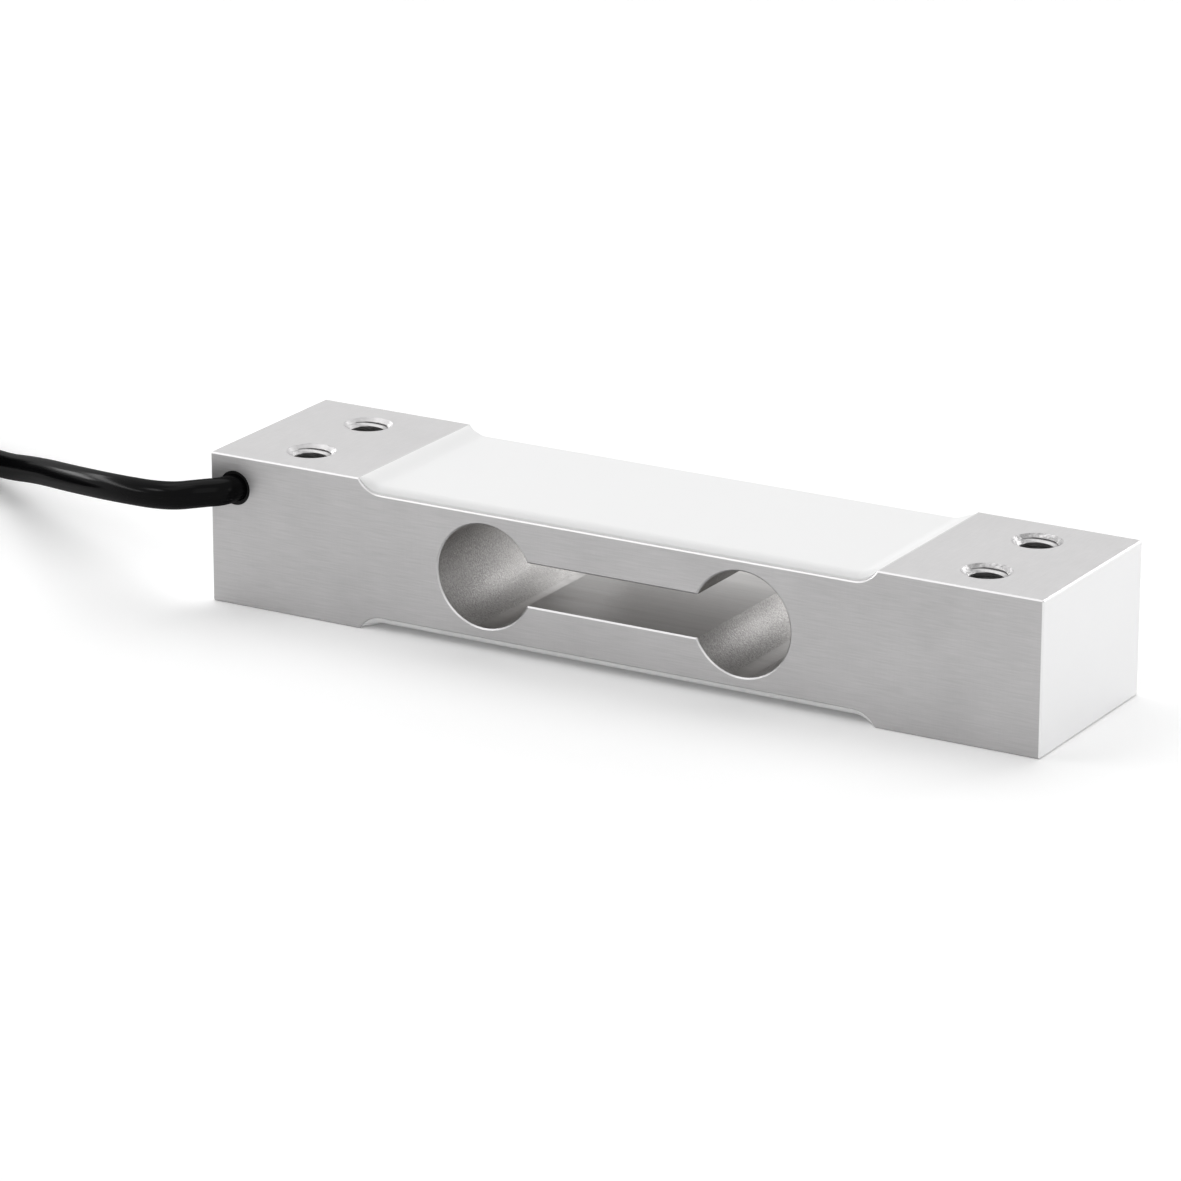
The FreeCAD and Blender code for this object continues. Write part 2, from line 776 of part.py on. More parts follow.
def resistor(name, lane):
    """Chip resistor: a ceramic bar with a metal cap at each end."""
    bar = box(
        name + "_bar", "Sizes.resistor_length", "Sizes.resistor_width - 2 * Sizes.resistor_cap_width_step",
        "Sizes.resistor_height - Sizes.resistor_cap_height_step", "0", lane, "Sizes.board_thickness")
    caps = []
    for way in (-1, 1):
        caps.append(box(
            "{}_cap_{}".format(name, "left" if way < 0 else "right"), "Sizes.resistor_cap_length",
            "Sizes.resistor_width", "Sizes.resistor_height",
            "{} * (Sizes.resistor_length - Sizes.resistor_cap_length) / 2".format(way), lane,
            "Sizes.board_thickness"))
    whole = doc.addObject("Part::MultiFuse", name + "_whole")
    whole.Shapes = [bar] + caps
    return whole


def make_resistors():
    balance = on_floor("zero_balance_resistor", [resistor("balance", "-Sizes.resistor_lane")], "top")
    span = on_floor("span_resistors", [
        resistor("span_middle", "0"),
        resistor("span_far", "Sizes.resistor_lane"),
    ], "top")
    return [balance, span]


# Wires between the pieces

def gauge_tab_x():
    inner_end = size("bore_spacing") / 2 - size("grid_active_length") / 2
    return inner_end - size("tab_gap") - size("tab_length") / 2


def foil_top():
    return size("gauge_carrier_thickness") + size("grid_thickness")


def bridge_wires(side):
    """Flat wires from the gauge tabs to the board."""
    lift = size("wire_lift") + size("ribbon_thickness") / 2
    shapes = []
    for way in (-1, 1):
        for lane in gauge_lanes:
            start = vec(way * gauge_tab_x(), lane, foil_top() + lift)
            end = vec(way * solder_column, lane, board_top + lift)
            shapes.append(ribbon(start, end, size("ribbon_width"), size("ribbon_thickness"), "bridge wire"))
    runs = computed(side + "_bridge_runs", Part.Compound(shapes))
    return on_floor("{}_bridge_wires".format(side), [runs], side)


def link_wires():
    """Insulated wires that join the two boards through the upright way between the recesses."""
    diameter = size("link_wire_diameter")
    level = board_top + size("wire_lift") + diameter / 2
    high = recess_floor + level
    low = size("recess_depth") - level
    gather = link_way_x - size("link_gather_run")
    middle_row = (len(board_lanes) - 1) / 2
    shapes = []
    for index, lane in enumerate(board_lanes):
        row = (index - middle_row) * size("link_wire_pitch")
        points = [
            vec(solder_column, lane, high),
            vec(gather, row, high),
            vec(link_way_x, row, high),
            vec(link_way_x, row, low),
            vec(gather, row, low),
            vec(solder_column, lane, low),
        ]
        shapes.append(thin_wire(points, None, diameter, "link wire"))
    return computed("link_wires", Part.Compound(shapes))


def mound(place):
    """Heap of solder: a small block with sloped sides."""
    along = size("solder_length") / 2
    across = size("solder_width") / 2
    share = size("solder_top_share")
    heap = Part.makeWedge(
        -along, 0, -across, -across * share, -along * share,
        along, size("solder_height"), across, across * share, along * share)
    heap.rotate(vec(0, 0, 0), vec(1, 0, 0), 90)
    heap.translate(place)
    return heap


def solder_joints(side):
    """One heap of solder on every gauge tab and board pad, each round its wire's end."""
    mounds = [mound(vec(way * solder_column, lane, board_top)) for way, lane in board_places(side)]
    for way in (-1, 1):
        mounds += [mound(vec(way * gauge_tab_x(), lane, foil_top())) for lane in gauge_lanes]
    return on_floor("{}_solder_forms".format(side), [computed(side + "_mounds", Part.Compound(mounds))], side)


CORE_COLOURS = ["red", "black", "green", "white"]


def core_offset(index):
    return ((len(CORE_COLOURS) - 1) / 2 - index) * size("core_pitch")


def make_cores():
    """The cable's four insulated wires, side by side through the drilled way to the top board."""
    start_y = -half_width + size("jacket_in_bore")
    level = recess_floor + lane_height
    core_end = -board_edge - size("core_end_gap")
    spread_bend = size("core_spread_bend")
    shapes = []
    tips = []
    for index, colour in enumerate(CORE_COLOURS):
        offset = core_offset(index)
        lane = board_lanes[index]
        points = [
            vec(cable_x + offset, start_y, cable_z),
            vec(cable_x + offset, -offset, cable_z),
            vec(wire_way_exit_x, -offset, level),
            vec(wire_way_exit_x + size("core_spread_run"), lane, level),
            vec(core_end, lane, level),
        ]
        radii = [size("core_bend_radius") - offset, spread_bend, spread_bend]
        core = thin_wire(points, radii, size("core_diameter"), colour + " core")
        shapes.append(computed("core_{}".format(colour), core))
        bare = [points[-1], vec(-solder_column, lane, level)]
        tips.append(thin_wire(bare, [], size("conductor_diameter"), "conductor"))
    return shapes, computed("core_conductors", Part.Compound(tips))


def minus(name, base, tools):
    item = doc.addObject("Part::Cut", name)
    item.Base = base
    item.Tool = tools[0] if len(tools) == 1 else group(name + "_room", tools)
    return item


# The cable

def make_cable():
    rest = size("cable_diameter") / 2
    route = [vec(cable_x, -half_width + size("jacket_in_bore"), cable_z)]
    for along, outward, share in CABLE_ROUTE:
        route.append(vec(cable_x + along, -half_width - outward, rest + share * (cable_z - rest)))
    radii = bend_radii(route)
    print("cable radii", [round(radius, 1) for radius in radii])
    jacket = computed("cable_jacket", tube(route, radii, size("cable_diameter"), "cable"))
    start = route[-1]
    heading = (route[-1] - route[-2]).normalize()
    coil, leave, direction = coil_shape(start, heading)
    computed("cable_coil", coil)
    tail = [vec(leave.x, leave.y, 0) + direction * along + vec(0, 0, height) for along, height in TAIL_ROUTE]
    tail_radii = bend_radii(tail)
    print("tail radii", [round(radius, 1) for radius in tail_radii])
    computed("cable_tail", tube(tail, tail_radii, size("cable_diameter"), "tail"))
    make_far_end(tail[-1], direction)
    length = rounded_path(route, radii).Length + rounded_path(tail, tail_radii).Length
    length += math.radians(size("coil_angle")) * size("coil_diameter") / 2
    print("cable length", round(length, 1))
    return jacket


def coil_shape(start, heading):
    """Layers of turns stacked on the surface, ending where the tail leaves the top one."""
    radius = size("coil_diameter") / 2
    thick = size("cable_diameter")
    inward = vec(-heading.y, heading.x, 0)
    centre = vec(start.x, start.y, 0) + inward * radius
    first = math.degrees(math.atan2(-inward.y, -inward.x))
    second = size("coil_first_layer_angle") - size("coil_climb_angle")
    third = second + 360
    layers = [(0, size("coil_first_layer_angle")), (second, third), (third, size("coil_angle"))]
    rings = []
    for number, (begin, finish) in enumerate(layers):
        rings.append(coil_layer(centre, radius, thick, number * thick, first + begin, finish - begin))
    whole = rings[0].fuse(rings[1:]).removeSplitter()
    last = math.radians(first + size("coil_angle"))
    leave = centre + vec(math.cos(last), math.sin(last), 0) * radius
    direction = vec(-math.sin(last), math.cos(last), 0)
    return whole.Solids[0], leave, direction


def coil_layer(centre, radius, thick, bottom, first, sweep):
    inner = radius - thick / 2
    face = Part.makePlane(thick, thick, vec(inner, 0, bottom + thick), vec(0, -1, 0))
    face.rotate(vec(0, 0, 0), vec(0, 0, 1), first)
    ring = face.revolve(vec(0, 0, 0), vec(0, 0, 1), sweep)
    ring.translate(centre)
    return ring


def make_far_end(end, direction):
    """Heat-shrunk sleeve on the jacket's end, with the stripped wires lying out of it."""
    side = vec(-direction.y, direction.x, 0)
    outer = size("cable_diameter") / 2 + size("sleeve_wall")
    begin = end - direction * size("sleeve_on_jacket")
    sleeve = Part.makeCylinder(outer, size("sleeve_length"), begin, direction)
    inside = Part.makeCylinder(size("cable_diameter") / 2, size("sleeve_length"), begin, direction)
    computed("end_sleeve", sleeve.cut(inside))
    mouth = size("sleeve_length") - size("sleeve_on_jacket")
    place = size("core_place_in_jacket")
    tinned = []
    for index, colour in enumerate(CORE_COLOURS):
        across = -place if index < 2 else place
        upward = -place if index % 2 == 0 else place
        lane = (index - (len(CORE_COLOURS) - 1) / 2) * size("lead_pitch")
        points = far_lead(end, direction, side, (across, upward), lane, mouth, size("core_diameter"))
        lead = thin_wire(points, bend_radii(points), size("core_diameter"), colour + " lead")
        computed("lead_{}".format(colour), lead)
        along = (points[-1] - points[-2]).normalize()
        bare = [points[-1], points[-1] + along * size("tinned_length")]
        tinned.append(thin_wire(bare, [], size("conductor_diameter"), "tinned end"))
    computed("tinned_ends", Part.Compound(tinned))
    drain = far_lead(end, direction, side, (0, 0), 0, mouth, size("drain_wire_diameter"))
    computed("drain_wire", thin_wire(drain, bend_radii(drain), size("drain_wire_diameter"), "drain wire"))


def far_lead(end, direction, side, place, lane, mouth, diameter):
    """Route of one stripped wire: out of the sleeve, down, and along the surface to its own lane."""
    across, upward = place
    low = vec(0, 0, diameter / 2 + size("lead_above_floor") - end.z)
    start = end + side * across + vec(0, 0, upward)
    return [
        start,
        start + direction * (mouth + size("lead_straight")),
        end + side * lane * size("lead_fan_share") + direction * (mouth + size("lead_fan_run")) + low,
        end + side * lane + direction * size("lead_length") + low,
    ]


# Assembly

make_beam()
make_gauges()
make_board("top")
make_board("bottom")
make_resistors()
cores, conductors = make_cores()
links = link_wires()
bridges = {side: bridge_wires(side) for side in ("top", "bottom")}
mounds = {side: solder_joints(side) for side in ("top", "bottom")}
minus("top_solder_joints", mounds["top"], [bridges["top"], conductors, links])
minus("bottom_solder_joints", mounds["bottom"], [bridges["bottom"], links])

shield_inner = "(3 * Sizes.core_pitch + Sizes.core_diameter + 2 * Sizes.shield_clearance)"
shield_outer = "({} + 2 * Sizes.shield_wall)".format(shield_inner)
bore_ring("cable_seal", "Sizes.cable_bore_diameter", "Sizes.cable_diameter",
          "Sizes.seal_setback", "Sizes.seal_length")
bore_ring("cable_shield", shield_outer, shield_inner, "Sizes.jacket_in_bore", "Sizes.shield_length")
bore_ring("crimp_ring", "{} + 2 * Sizes.crimp_wall".format(shield_outer), shield_outer,
          "Sizes.jacket_in_bore + Sizes.crimp_from_jacket", "Sizes.crimp_length")
potting = bore_rod("potting_form", "Sizes.cable_bore_diameter",
                   "Sizes.jacket_in_bore + Sizes.shield_length", "Sizes.potting_length")
minus("bore_potting", potting, cores)

make_cover("top_gauge_cover", "top")
make_cover("bottom_gauge_cover", "bottom")

make_cable()
doc.recompute()

NODES = [
    "beam_body", "top_gauge_cover", "bottom_gauge_cover",
    "gauge_top_left_carrier", "gauge_top_right_carrier",
    "gauge_bottom_left_carrier", "gauge_bottom_right_carrier",
    "gauge_top_left_grid", "gauge_top_right_grid", "gauge_bottom_left_grid", "gauge_bottom_right_grid",
    "top_terminal_board", "bottom_terminal_board", "top_solder_pads", "bottom_solder_pads",
    "zero_balance_resistor", "span_resistors", "top_solder_joints", "bottom_solder_joints",
    "top_bridge_wires", "bottom_bridge_wires", "link_wires",
    "core_red", "core_black", "core_green", "core_white", "core_conductors",
    "cable_seal", "cable_shield", "crimp_ring", "bore_potting",
    "cable_jacket", "cable_coil", "cable_tail", "end_sleeve",
    "lead_red", "lead_black", "lead_green", "lead_white", "tinned_ends", "drain_wire",
]

failed = [item.Name for item in doc.Objects if "Invalid" in item.State or "Error" in item.State]
if failed:
    raise RuntimeError("failed objects: {}".format(failed))
os.makedirs("parts", exist_ok=True)
for name in NODES:
    item = doc.getObject(name)
    if item.Shape.isNull() or not item.Shape.isValid():
        raise RuntimeError("{} has no valid shape".format(name))
    item.Label = name
    item.Shape.exportStep("parts/{}.step".format(name))
    print(name, len(item.Shape.Solids), round(item.Shape.Volume, 3))
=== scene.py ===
import math

import bmesh
import bpy
from bpy.props import FloatProperty, FloatVectorProperty, IntProperty, PointerProperty
from bpy.types import Operator, Panel, PropertyGroup
from mathutils import Matrix, Vector


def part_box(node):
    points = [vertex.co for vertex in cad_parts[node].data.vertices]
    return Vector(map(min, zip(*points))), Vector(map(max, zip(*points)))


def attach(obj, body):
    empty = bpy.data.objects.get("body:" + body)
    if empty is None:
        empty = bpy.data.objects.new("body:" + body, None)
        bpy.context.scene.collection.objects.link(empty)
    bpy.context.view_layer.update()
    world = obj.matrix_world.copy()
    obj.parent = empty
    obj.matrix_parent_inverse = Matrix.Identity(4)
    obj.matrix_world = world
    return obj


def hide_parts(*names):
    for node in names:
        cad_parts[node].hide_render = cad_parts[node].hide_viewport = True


bl_info = {
    "name": "Single Point Load Cell",
    "version": (1, 0, 0),
    "blender": (4, 5, 0),
    "location": "View3D > Sidebar > Load Cell",
    "description": "Dresses a single point load cell: machined beam, moulded covers, cable and its end",
    "category": "Object",
}

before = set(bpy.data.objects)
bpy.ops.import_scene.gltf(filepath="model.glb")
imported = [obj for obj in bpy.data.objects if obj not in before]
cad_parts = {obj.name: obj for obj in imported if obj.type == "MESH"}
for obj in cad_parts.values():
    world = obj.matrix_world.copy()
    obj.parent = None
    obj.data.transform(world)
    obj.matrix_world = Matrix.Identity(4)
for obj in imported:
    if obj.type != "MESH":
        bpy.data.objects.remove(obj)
MM = 0.001

# Places read from the beam's mesh
BEAM_LOW, BEAM_HIGH = (Vector(corner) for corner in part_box("beam_body"))
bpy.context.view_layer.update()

# Distances within which points are one, a cut meets a point, and a place counts as level with a face
WELD = 1e-6
SLIVER = 1e-7
FLUSH = 0.01 * MM

# Depth of the relief that the two bump patterns stand for
GRAIN_DEPTH = 0.04 * MM
PIT_DEPTH = 0.06 * MM


# Settings that a user would change

class LOADCELL_PG_camera(PropertyGroup):
    azimuth: FloatProperty(
        name="Azimuth", description="Turn of the camera round the cell", subtype="ANGLE",
        default=math.radians(30.132))
    elevation: FloatProperty(
        name="Elevation", description="Height of the camera above the horizon", subtype="ANGLE",
        default=math.radians(18.374))
    roll: FloatProperty(
        name="Roll", description="Tilt of the camera about its own axis", subtype="ANGLE",
        default=math.radians(0.153))
    place: FloatVectorProperty(
        name="Place", description="Where the camera stands", subtype="TRANSLATION",
        default=(0.38805, -0.68913, 0.27079))
    lens: FloatProperty(
        name="Lens", description="Focal length in millimetres", default=183.98)


class LOADCELL_PG_beam(PropertyGroup):
    colour: FloatVectorProperty(
        name="Metal", description="Colour of the milled aluminium", subtype="COLOR",
        default=(0.452, 0.446, 0.448), min=0.0, max=1.0)
    # The bored walls and the slot are painted darker than the outer metal: painted shade inside them.
    bore_shade_colour: FloatVectorProperty(
        name="Bores", description="Colour of the bored walls and of the slot", subtype="COLOR",
        default=(0.375, 0.366, 0.360), min=0.0, max=1.0)
    # The end faces are painted brighter than the rest of the metal: painted light that stands in for the light
    # falling on them.
    end_painted_light_colour: FloatVectorProperty(
        name="End", description="Colour of the two end faces, which are left brighter", subtype="COLOR",
        default=(0.76, 0.76, 0.763), min=0.0, max=1.0)
    # The broken edges and a flat strip at each pad's inner edge are painted brighter than the metal: a painted
    # highlight, on edge breaks that are real.
    edge_highlight_colour: FloatVectorProperty(
        name="Edge", description="Colour of the broken edges, which are burnished", subtype="COLOR",
        default=(0.50, 0.496, 0.498), min=0.0, max=1.0)
    pad_start: FloatProperty(
        name="Pad start", description="Distance from the middle to the edge of a pad", subtype="DISTANCE",
        default=40.5 * MM)
    # The strip is flat pad face given the edge's brighter colour: a painted highlight line.
    highlight_strip_width: FloatProperty(
        name="Edge strip", description="Width of the burnished strip along a pad's inner edge",
        subtype="DISTANCE", default=0.22 * MM)
    hole_inset: FloatProperty(
        name="Hole inset", description="Distance of the tapped holes from the beam's ends",
        subtype="DISTANCE", default=12 * MM)
    hole_pitch: FloatProperty(
        name="Hole pitch", description="Distance between the two tapped holes of one end",
        subtype="DISTANCE", default=15 * MM)
    thread_minor: FloatProperty(
        name="Thread bore", description="Radius at the crests of the thread", subtype="DISTANCE",
        default=2.5 * MM)
    thread_major: FloatProperty(
        name="Thread root", description="Radius at the roots of the thread", subtype="DISTANCE",
        default=3.02 * MM)
    thread_mouth: FloatProperty(
        name="Thread mouth", description="Radius of the bevelled mouth of a tapped hole",
        subtype="DISTANCE", default=3.5 * MM)
    thread_pitch: FloatProperty(
        name="Thread pitch", description="Rise of the thread in one turn", subtype="DISTANCE",
        default=1.0 * MM)
    thread_steps: IntProperty(
        name="Thread steps", description="Steps in one turn of the thread", default=48)


class LOADCELL_PG_cover(PropertyGroup):
    colour: FloatVectorProperty(
        name="Silicone", description="Colour of the moulded covers", subtype="COLOR",
        default=(0.88, 0.88, 0.88), min=0.0, max=1.0)
    recess_depth: FloatProperty(
        name="Recess depth", description="Depth of the recess that holds a cover", subtype="DISTANCE",
        default=2.0 * MM)
    recess_end: FloatProperty(
        name="Recess end", description="Distance from the middle to the edge of a pad", subtype="DISTANCE",
        default=40.5 * MM)
    corner_radius: FloatProperty(
        name="Corner radius", description="Radius of the recess's curved ends", subtype="DISTANCE",
        default=4.0 * MM)
    half_width: FloatProperty(
        name="Half width", description="Distance from the middle to a cover's long edge", subtype="DISTANCE",
        default=14.75 * MM)
    thickness: FloatProperty(
        name="Thickness", description="Thickness of a cover in its middle", subtype="DISTANCE",
        default=1.1 * MM)
    edge_thickness: FloatProperty(
        name="Edge thickness", description="Thickness of a cover at its long edges", subtype="DISTANCE",
        default=0.35 * MM)
    side_run: FloatProperty(
        name="Side run", description="Width of the rounded strip at a long edge", subtype="DISTANCE",
        default=1.5 * MM)
    end_run: FloatProperty(
        name="End run", description="Length of the rise up to a pad", subtype="DISTANCE", default=3.2 * MM)


class LOADCELL_PG_cable(PropertyGroup):
    colour: FloatVectorProperty(
        name="Jacket", description="Colour of the cable's jacket", subtype="COLOR",
        default=(0.003, 0.003, 0.0033), min=0.0, max=1.0)
    diameter: FloatProperty(
        name="Diameter", description="Thickness of the cable", subtype="DISTANCE", default=4 * MM)
    coil_radius: FloatProperty(
        name="Coil radius", description="Radius of the coil at the middle of the cable",
        subtype="DISTANCE", default=20 * MM)
    coil_angle: FloatProperty(
        name="Coil angle", description="Turn of the whole coil", subtype="ANGLE",
        default=math.radians(788))
    layer_rise: FloatProperty(
        name="Layer rise", description="Height from one layer of the coil to the next",
        subtype="DISTANCE", default=4.05 * MM)
    length: FloatProperty(
        name="Length", description="Length of the free cable", subtype="DISTANCE", default=0.414)


class LOADCELL_PG_stage(PropertyGroup):
    floor_colour: FloatVectorProperty(
        name="Floor", description="Colour of the floor", subtype="COLOR",
        default=(0.96, 0.96, 0.96), min=0.0, max=1.0)
    floor_radius: FloatProperty(
        name="Floor radius", description="Reach of the floor", subtype="DISTANCE", default=4.0)


# Shader groups

def new_group(name, inputs, outputs):
    group = bpy.data.node_groups.new(name, "ShaderNodeTree")
    for label, kind, default in inputs:
        socket = group.interface.new_socket(label, in_out="INPUT", socket_type=kind)
        if default is not None:
            socket.default_value = default
    for label, kind in outputs:
        group.interface.new_socket(label, in_out="OUTPUT", socket_type=kind)
    entry = group.nodes.new("NodeGroupInput")
    leave = group.nodes.new("NodeGroupOutput")
    return group, entry, leave


def math_node(tree, operation, first, second=None):
    node = tree.nodes.new("ShaderNodeMath")
    node.operation = operation
    for socket, value in zip(node.inputs, (first, second)):
        if value is None:
            continue
        if isinstance(value, (int, float)):
            socket.default_value = value
        else:
            tree.links.new(value, socket)
    return node.outputs[0]


def grain_group():
    """Fine parallel tool marks: their tone, their roughness and their relief."""
    group, entry, leave = new_group("Tool grain", [
        ("Vector", "NodeSocketVector", None),
        ("Stretch", "NodeSocketVector", (1.0, 1.0, 1.0)),
        ("Contrast", "NodeSocketFloat", 0.1),
        ("Base roughness", "NodeSocketFloat", 0.4),
        ("Relief", "NodeSocketFloat", 0.1),
    ], [
        ("Tone", "NodeSocketFloat"),
        ("Roughness", "NodeSocketFloat"),
        ("Normal", "NodeSocketVector"),
    ])
    links = group.links
    stretch = group.nodes.new("ShaderNodeVectorMath")
    stretch.operation = "MULTIPLY"
    links.new(entry.outputs["Vector"], stretch.inputs[0])
    links.new(entry.outputs["Stretch"], stretch.inputs[1])
    lines = group.nodes.new("ShaderNodeTexNoise")
    lines.inputs["Scale"].default_value = 1.0
    lines.inputs["Detail"].default_value = 4.0
    lines.inputs["Roughness"].default_value = 0.65
    links.new(stretch.outputs[0], lines.inputs["Vector"])
    centred = math_node(group, "SUBTRACT", lines.outputs["Fac"], 0.5)
    swing = math_node(group, "MULTIPLY", centred, entry.outputs["Contrast"])
    tone = math_node(group, "ADD", swing, 1.0)
    links.new(tone, leave.inputs["Tone"])
    rough = math_node(group, "MULTIPLY", entry.outputs["Base roughness"], tone)
    links.new(rough, leave.inputs["Roughness"])
    bump = group.nodes.new("ShaderNodeBump")
    bump.inputs["Distance"].default_value = GRAIN_DEPTH
    links.new(entry.outputs["Relief"], bump.inputs["Strength"])
    links.new(lines.outputs["Fac"], bump.inputs["Height"])
    links.new(bump.outputs["Normal"], leave.inputs["Normal"])
    return group


def mottle_group():
    """Broad soft unevenness of tone, as handling and light oil leave on a surface."""
    group, entry, leave = new_group("Mottle", [
        ("Vector", "NodeSocketVector", None),
        ("Scale", "NodeSocketFloat", 60.0),
        ("Contrast", "NodeSocketFloat", 0.1),
    ], [("Tone", "NodeSocketFloat")])
    cloud = group.nodes.new("ShaderNodeTexNoise")
    cloud.inputs["Detail"].default_value = 3.0
    group.links.new(entry.outputs["Vector"], cloud.inputs["Vector"])
    group.links.new(entry.outputs["Scale"], cloud.inputs["Scale"])
    centred = math_node(group, "SUBTRACT", cloud.outputs["Fac"], 0.5)
    swing = math_node(group, "MULTIPLY", centred, entry.outputs["Contrast"])
    group.links.new(math_node(group, "ADD", swing, 1.0), leave.inputs["Tone"])
    return group


def stipple_group():
    """Small pits of a blasted or dull bored wall."""
    group, entry, leave = new_group("Stipple", [
        ("Vector", "NodeSocketVector", None),
        ("Scale", "NodeSocketFloat", 4000.0),
        ("Contrast", "NodeSocketFloat", 0.3),
        ("Relief", "NodeSocketFloat", 0.3),
    ], [
        ("Tone", "NodeSocketFloat"),
        ("Normal", "NodeSocketVector"),
    ])
    grains = group.nodes.new("ShaderNodeTexNoise")
    grains.inputs["Detail"].default_value = 2.0
    grains.inputs["Roughness"].default_value = 0.7
    group.links.new(entry.outputs["Vector"], grains.inputs["Vector"])
    group.links.new(entry.outputs["Scale"], grains.inputs["Scale"])
    centred = math_node(group, "SUBTRACT", grains.outputs["Fac"], 0.5)
    swing = math_node(group, "MULTIPLY", centred, entry.outputs["Contrast"])
    group.links.new(math_node(group, "ADD", swing, 1.0), leave.inputs["Tone"])
    bump = group.nodes.new("ShaderNodeBump")
    bump.inputs["Distance"].default_value = PIT_DEPTH
    group.links.new(entry.outputs["Relief"], bump.inputs["Strength"])
    group.links.new(grains.outputs["Fac"], bump.inputs["Height"])
    group.links.new(bump.outputs["Normal"], leave.inputs["Normal"])
    return group


GROUP_MAKERS = {"Tool grain": grain_group, "Mottle": mottle_group, "Stipple": stipple_group}


def place_group(tree, name, vector, values):
    if name not in bpy.data.node_groups:
        GROUP_MAKERS[name]()
    node = tree.nodes.new("ShaderNodeGroup")
    node.node_tree = bpy.data.node_groups[name]
    tree.links.new(vector, node.inputs["Vector"])
    for label, value in values.items():
        node.inputs[label].default_value = value
    return node


def new_material(name, colour, roughness, metallic=0.0):
    material = bpy.data.materials.new(name)
    material.use_nodes = True
    shader = material.node_tree.nodes["Principled BSDF"]
    shader.inputs["Base Color"].default_value = (*colour, 1.0)
    shader.inputs["Roughness"].default_value = roughness
    shader.inputs["Metallic"].default_value = metallic
    material.diffuse_color = (*colour, 1.0)
    return material, shader


def shaded(colour, share):
    return tuple(part * share for part in colour)


def object_vector(tree):
    return tree.nodes.new("ShaderNodeTexCoord").outputs["Object"]


def toned(tree, colour, tones):
    """The colour times each tone in turn."""
    current = None
    for tone in tones:
        scale = tree.nodes.new("ShaderNodeVectorMath")
        scale.operation = "SCALE"
        if current is None:
            scale.inputs[0].default_value = colour
        else:
            tree.links.new(current, scale.inputs[0])
        tree.links.new(tone, scale.inputs["Scale"])
        current = scale.outputs[0]
    return current


def milled(name, colour, stretch, contrast, roughness, relief, mottle=0.06, cross=None, cross_contrast=0.1):
    """Milled or brushed aluminium with its marks running one way, and fainter ones across them."""
    material, shader = new_material(name, colour, roughness, 1.0)
    tree = material.node_tree
    place = object_vector(tree)
    grain = place_group(tree, "Tool grain", place, {
        "Stretch": stretch, "Contrast": contrast, "Base roughness": roughness, "Relief": relief})
    cloud = place_group(tree, "Mottle", place, {"Scale": 70.0, "Contrast": mottle})
    tones = [grain.outputs["Tone"], cloud.outputs["Tone"]]
    if cross:
        faint = place_group(tree, "Tool grain", place, {
            "Stretch": cross, "Contrast": cross_contrast, "Base roughness": roughness, "Relief": 0.0})
        tones.append(faint.outputs["Tone"])
    tree.links.new(toned(tree, colour, tones), shader.inputs["Base Color"])
    tree.links.new(grain.outputs["Roughness"], shader.inputs["Roughness"])
    tree.links.new(grain.outputs["Normal"], shader.inputs["Normal"])
    return material


def stippled(name, colour, roughness, scale, contrast, relief):
    """Dull or rough aluminium with small pits."""
    material, shader = new_material(name, colour, roughness, 1.0)
    tree = material.node_tree
    place = object_vector(tree)
    grain = place_group(tree, "Stipple", place, {"Scale": scale, "Contrast": contrast, "Relief": relief})
    cloud = place_group(tree, "Mottle", place, {"Scale": 120.0, "Contrast": 0.08})
    colour_out = toned(tree, colour, [grain.outputs["Tone"], cloud.outputs["Tone"]])
    tree.links.new(colour_out, shader.inputs["Base Color"])
    tree.links.new(grain.outputs["Normal"], shader.inputs["Normal"])
    return material


def plain(name, colour, roughness, metallic=0.0, contrast=0.1, scale=300.0, gloss=0.5):
    """Evenly coloured finish with a soft unevenness."""
    material, shader = new_material(name, colour, roughness, metallic)
    shader.inputs["Specular IOR Level"].default_value = gloss
    tree = material.node_tree
    cloud = place_group(tree, "Mottle", object_vector(tree), {"Scale": scale, "Contrast": contrast})
    tree.links.new(toned(tree, colour, [cloud.outputs["Tone"]]), shader.inputs["Base Color"])
    return material


# Meshes

def smooth_step(share):
    return share * share * (3 - 2 * share)


def finish_mesh(bm, name, materials, smooth_angle=30.0):
    """Makes the piece from its bmesh, smooth but for the edges that are sharper than the angle."""
    mesh = bpy.data.meshes.new(name)
    bm.to_mesh(mesh)
    bm.free()
    old_normals = mesh.attributes.get("custom_normal")
    if old_normals:
        mesh.attributes.remove(old_normals)
    for polygon in mesh.polygons:
        polygon.use_smooth = True
    mesh.set_sharp_from_angle(angle=math.radians(smooth_angle))
    for material in materials:
        mesh.materials.append(material)
    piece = bpy.data.objects.new(name, mesh)
    bpy.context.collection.objects.link(piece)
    return piece


def merged_copy(node):
    """A copy of a node's mesh with its loose triangles joined."""
    bm = bmesh.new()
    bm.from_mesh(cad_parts[node].data)
    bmesh.ops.remove_doubles(bm, verts=bm.verts, dist=WELD)
    bmesh.ops.dissolve_degenerate(bm, edges=bm.edges, dist=SLIVER)
    return bm


def cut_across(bm, direction, places):
    """Cuts the mesh into strips at these distances on both sides of the middle."""
    for place in places:
        for way in (-1, 1):
            bmesh.ops.bisect_plane(
                bm, geom=[*bm.verts, *bm.edges, *bm.faces], dist=SLIVER,
                plane_co=Vector(direction) * way * place, plane_no=direction)


# Tapped holes

# One turn of the thread, in shares of its pitch: the root ends, the crest starts and the crest ends
ROOT_END = 0.12
CREST_START = 0.44
CREST_END = 0.68

# Rows in one turn near the mouths, and how many turns from the lower and the upper mouth have them
CLOSE_ROWS = 12
LOWER_TURNS = 1.5
UPPER_TURNS = 3.0

# How far beyond a mouth's radius its points may lie
MOUTH_SLACK = 0.02 * MM

